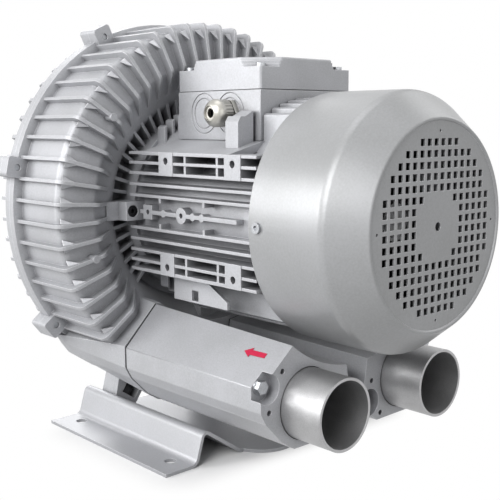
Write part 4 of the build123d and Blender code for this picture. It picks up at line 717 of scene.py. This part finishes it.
@dataclass
class Silencers(SubAssembly):
    """The two silencers with their pipes, and the flow arrow on the left one.

    The arrow lies on the sloping facet below the ridge and points to the ring housing.
    """

    arrow_tail_mm: tuple[float, float, float] = (-116.3, -240.8, 154.5)
    arrow_tip_mm: tuple[float, float, float] = (-117.8, -210.0, 154.5)
    facet_normal: tuple[float, float, float] = (-0.6365, -0.0302, 0.7707)
    arrow_head_mm: float = 10.0
    arrow_head_half_mm: float = 6.2
    arrow_shaft_half_mm: float = 3.1
    arrow_film_mm: float = 0.25
    arrow_sink_mm: float = 0.1
    ridge_round_mm: float = 3.0
    ridge_long_mm: float = 60.0

    def shells(self) -> list[Shell]:
        """The cast bodies, with rounded ridges."""
        return [
            Shell(f"silencer_{side}", Finishes.castings, self.ridge_round_mm, self.ridge_long_mm)
            for side in SIDES
        ]

    def plain(self) -> dict[str, Finish]:
        """The pipes and the perforated tubes inside."""
        kinds = {"pipe_stub": Finishes.pipes, "mesh_tube": Finishes.mesh}
        return {f"{kind}_{side}": kinds[kind] for kind in kinds for side in SIDES}

    def extras(self) -> list[bpy.types.Object]:
        """The flow arrow."""
        return [self.arrow()]

    def arrow(self) -> bpy.types.Object:
        """Makes the arrow, a thin film whose outline is carried from the facet outwards.

        The outline is drawn with one axis from tail to tip and the other square to it in the
        facet, which is the facet's normal crossed with the first. It is placed once a little under
        the facet and once a film's thickness above it, and a rim joins the two outlines.

        Returns:
            The arrow, riding with the silencer.
        """
        tail, tip = np.array(self.arrow_tail_mm), np.array(self.arrow_tip_mm)
        normal = np.array(self.facet_normal)
        length = np.linalg.norm(tip - tail)
        along = (tip - tail) / length
        across = np.cross(normal, along)
        neck, barb, half = (
            length - self.arrow_head_mm, self.arrow_head_half_mm, self.arrow_shaft_half_mm
        )
        lower = [(0, -half), (neck, -half), (neck, -barb)]
        upper = [(neck, barb), (neck, half), (0, half)]
        outline = np.array(lower + [(length, 0)] + upper)
        flat = tail + outline[:, :1] * along + outline[:, 1:] * across
        levels = [flat - self.arrow_sink_mm * normal, flat + self.arrow_film_mm * normal]
        count = len(outline)
        rim = [[i, (i + 1) % count, count + (i + 1) % count, count + i] for i in range(count)]
        faces = rim + [list(range(count, 2 * count)), list(range(count - 1, -1, -1))]
        arrow = add_piece("flow_arrow", np.concatenate(levels), faces, Finishes.vinyl)
        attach(arrow, body_of_node("silencer_left"))
        return arrow


@dataclass
class Remaining(SubAssembly):
    """Every other node: screws, seals and what is inside the machine."""

    done: tuple[str, ...]

    def plain(self) -> dict[str, Finish]:
        """The finish of each node's material slot, for all nodes that no other class dresses."""
        rest = [entry for entry in frame["record"]["subparts"] if entry["node"] not in self.done]
        return {entry["node"]: FINISH_OF_SLOT[entry["material_slot"]] for entry in rest}


@dataclass(frozen=True)
class Lamp:
    """A soft square lamp that faces the middle of the blower."""

    name: str
    place: tuple[float, float, float]
    size: float
    watts: float


@dataclass
class Studio:
    """Pale floor, soft lamps and the camera of the photograph.

    The camera's heading is counted from Y towards X, its pitch downwards, and both and its roll are
    in degrees.
    The floor's shadow is kept over a rectangle of half sides shadow_half and fades out round it.
    """

    eye: tuple[float, float, float] = (-0.718, -0.8716, 0.3909)
    heading: float = 42.62
    pitch: float = 8.29
    roll: float = -0.26
    lens_mm: float = 63.3
    sensor_mm: float = 36.0
    floor_reach: float = 12.0
    floor_seen: str = "#F4F4F4"
    floor_unseen: str = "#A6A6A6"
    shadow_middle: tuple[float, float] = (0.02, -0.03)
    shadow_half: tuple[float, float] = (0.16, 0.095)
    shadow_fade: float = 0.06
    dome: float = 0.1
    lamps_face: tuple[float, float, float] = (0.0, -0.05, 0.25)
    lamps: tuple[Lamp, ...] = (
        Lamp("key", (-1.9, 1.0, 0.9), 1.0, 27),
        Lamp("left", (-2.0, -0.75, 1.4), 1.4, 45),
        Lamp("front", (-0.2, -2.2, 0.8), 1.4, 5),
        Lamp("right", (1.7, -0.6, 1.5), 1.4, 10),
        Lamp("top", (0.0, 0.0, 2.4), 1.4, 8),
        Lamp("back", (0.9, 2.1, 1.3), 1.4, 18),
    )

    def build(self) -> None:
        """Makes the floor, the lamps, the world and the camera."""
        self.floor()
        for lamp in self.lamps:
            self.light(lamp)
        self.world()
        self.camera()

    @staticmethod
    def seen_rays(tree: bpy.types.NodeTree) -> bpy.types.NodeSocket:
        """One for rays of the camera and for those that gloss or glass sends on, otherwise zero.

        Args:
            tree: Node tree of the floor or the world.

        Returns:
            The factor socket.
        """
        ray = add_node(tree, "LightPath")
        both = {0: ray.outputs["Is Camera Ray"], 1: ray.outputs["Is Glossy Ray"]}
        first = add_node(tree, "Math", {"operation": "MAXIMUM"}, both)
        both = {0: first.outputs[0], 1: ray.outputs["Is Transmission Ray"]}
        return add_node(tree, "Math", {"operation": "MAXIMUM"}, both).outputs[0]

    def outside(self, tree: bpy.types.NodeTree) -> bpy.types.NodeSocket:
        """How far a point of the floor lies outside the blower's footprint, from 0 to 1.

        The distance to a rectangle is the length of what the point's offsets from its middle, both
        taken as positive, have over its half sides.

        Args:
            tree: Node tree of the floor.

        Returns:
            The factor socket, one from the fade's width onwards.
        """
        place = add_node(tree, "TexCoord")
        steps = [
            ("SUBTRACT", {1: (*self.shadow_middle, 0.0)}),
            ("ABSOLUTE", {}),
            ("SUBTRACT", {1: (*self.shadow_half, 0.0)}),
            ("MAXIMUM", {1: (0.0, 0.0, 0.0)}),
            ("LENGTH", {}),
        ]
        value = place.outputs["Object"]
        for operation, other in steps:
            step = add_node(tree, "VectorMath", {"operation": operation, **other}, {0: value})
            value = step.outputs["Value" if operation == "LENGTH" else "Vector"]
        settings = {
            "interpolation_type": "SMOOTHSTEP", "From Min": 0.0, "From Max": self.shadow_fade
        }
        return add_node(tree, "MapRange", settings, {"Value": value}).outputs[0]

    def floor(self) -> None:
        """Makes a wide floor, white where seen but for the shadow, and grey to other rays."""
        mesh = bpy.data.meshes.new("floor")
        reach = self.floor_reach
        corners = [(-reach, -reach, 0), (reach, -reach, 0), (reach, reach, 0), (-reach, reach, 0)]
        mesh.from_pydata(corners, [], [(0, 1, 2, 3)])
        floor = bpy.data.objects.new("floor", mesh)
        bpy.context.collection.objects.link(floor)
        made = bpy.data.materials.new("pale_floor")
        made.use_nodes = True
        tree = made.node_tree
        tree.nodes.clear()
        lit = add_node(tree, "BsdfDiffuse", {"Color": linear(self.floor_seen)})
        white = add_node(tree, "Emission", {"Color": (1, 1, 1, 1), "Strength": 1.0})
        parts = {0: self.outside(tree), 1: lit.outputs[0], 2: white.outputs[0]}
        seen = add_node(tree, "MixShader", None, parts)
        grey = add_node(tree, "BsdfDiffuse", {"Color": linear(self.floor_unseen)})
        parts = {0: self.seen_rays(tree), 1: grey.outputs[0], 2: seen.outputs[0]}
        shown = add_node(tree, "MixShader", None, parts)
        add_node(tree, "OutputMaterial", None, {"Surface": shown.outputs[0]})
        mesh.materials.append(made)

    def light(self, lamp: Lamp) -> None:
        """Adds one lamp to the scene.

        Args:
            lamp: The lamp to add.
        """
        data = bpy.data.lights.new(lamp.name, "AREA")
        data.size = lamp.size
        data.energy = lamp.watts
        made = bpy.data.objects.new(lamp.name, data)
        towards = np.array(self.lamps_face) - np.array(lamp.place)
        made.matrix_world = self.facing(lamp.place, towards / np.linalg.norm(towards))
        bpy.context.collection.objects.link(made)

    @staticmethod
    def facing(
        place: tuple[float, float, float], forward: np.ndarray, roll: float = 0.0
    ) -> Matrix:
        """Placement of a lamp or camera that looks along a direction.

        Its right side is level and square to the direction, its top is square to both, and the
        roll turns these two about the direction.

        Args:
            place: Where it stands.
            forward: Unit vector that it looks along.
            roll: Turn about that direction in radians.

        Returns:
            The world matrix.
        """
        right = np.cross(forward, (0.0, 0.0, 1.0))
        right /= np.linalg.norm(right)
        up = np.cross(right, forward)
        turned = math.cos(roll) * right + math.sin(roll) * up
        raised = -math.sin(roll) * right + math.cos(roll) * up
        columns = np.stack([turned, raised, -forward], axis=1)
        return Matrix.Translation(place) @ Matrix(columns.tolist()).to_4x4()

    def world(self) -> None:
        """Makes the surroundings: a soft grey dome for light, and white where they are seen."""
        world = bpy.data.worlds.new("studio")
        bpy.context.scene.world = world
        world.use_nodes = True
        tree = world.node_tree
        tree.nodes.clear()
        seen = add_node(tree, "Background", {"Color": (1, 1, 1, 1), "Strength": 1.0})
        dome = add_node(tree, "Background", {"Color": (1, 1, 1, 1), "Strength": self.dome})
        parts = {0: self.seen_rays(tree), 1: dome.outputs[0], 2: seen.outputs[0]}
        mixed = add_node(tree, "MixShader", None, parts)
        add_node(tree, "OutputWorld", None, {"Surface": mixed.outputs[0]})

    def camera(self) -> None:
        """Sets the camera where the photograph was taken from."""
        data = bpy.data.cameras.new("camera")
        data.lens = self.lens_mm
        data.sensor_width = self.sensor_mm
        heading, pitch = math.radians(self.heading), math.radians(self.pitch)
        level = math.cos(pitch)
        forward = np.array(
            [math.sin(heading) * level, math.cos(heading) * level, -math.sin(pitch)]
        )
        camera = bpy.data.objects.new("camera", data)
        camera.matrix_world = self.facing(self.eye, forward, math.radians(self.roll))
        bpy.context.collection.objects.link(camera)
        bpy.context.scene.camera = camera


def main() -> None:
    """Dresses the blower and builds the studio."""
    logging.basicConfig(level=logging.INFO, format="%(message)s")
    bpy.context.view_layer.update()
    groups = [Housing(), Motor(), ConnectionBox(), Silencers()]
    done = [shell.node for group in groups for shell in group.shells()]
    done += [name for group in groups for name in group.plain()]
    for group in groups + [Remaining(tuple(done))]:
        group.build()
    Studio().build()
    bpy.context.scene.view_settings.view_transform = "Standard"


if __name__ == "__main__":
    main()
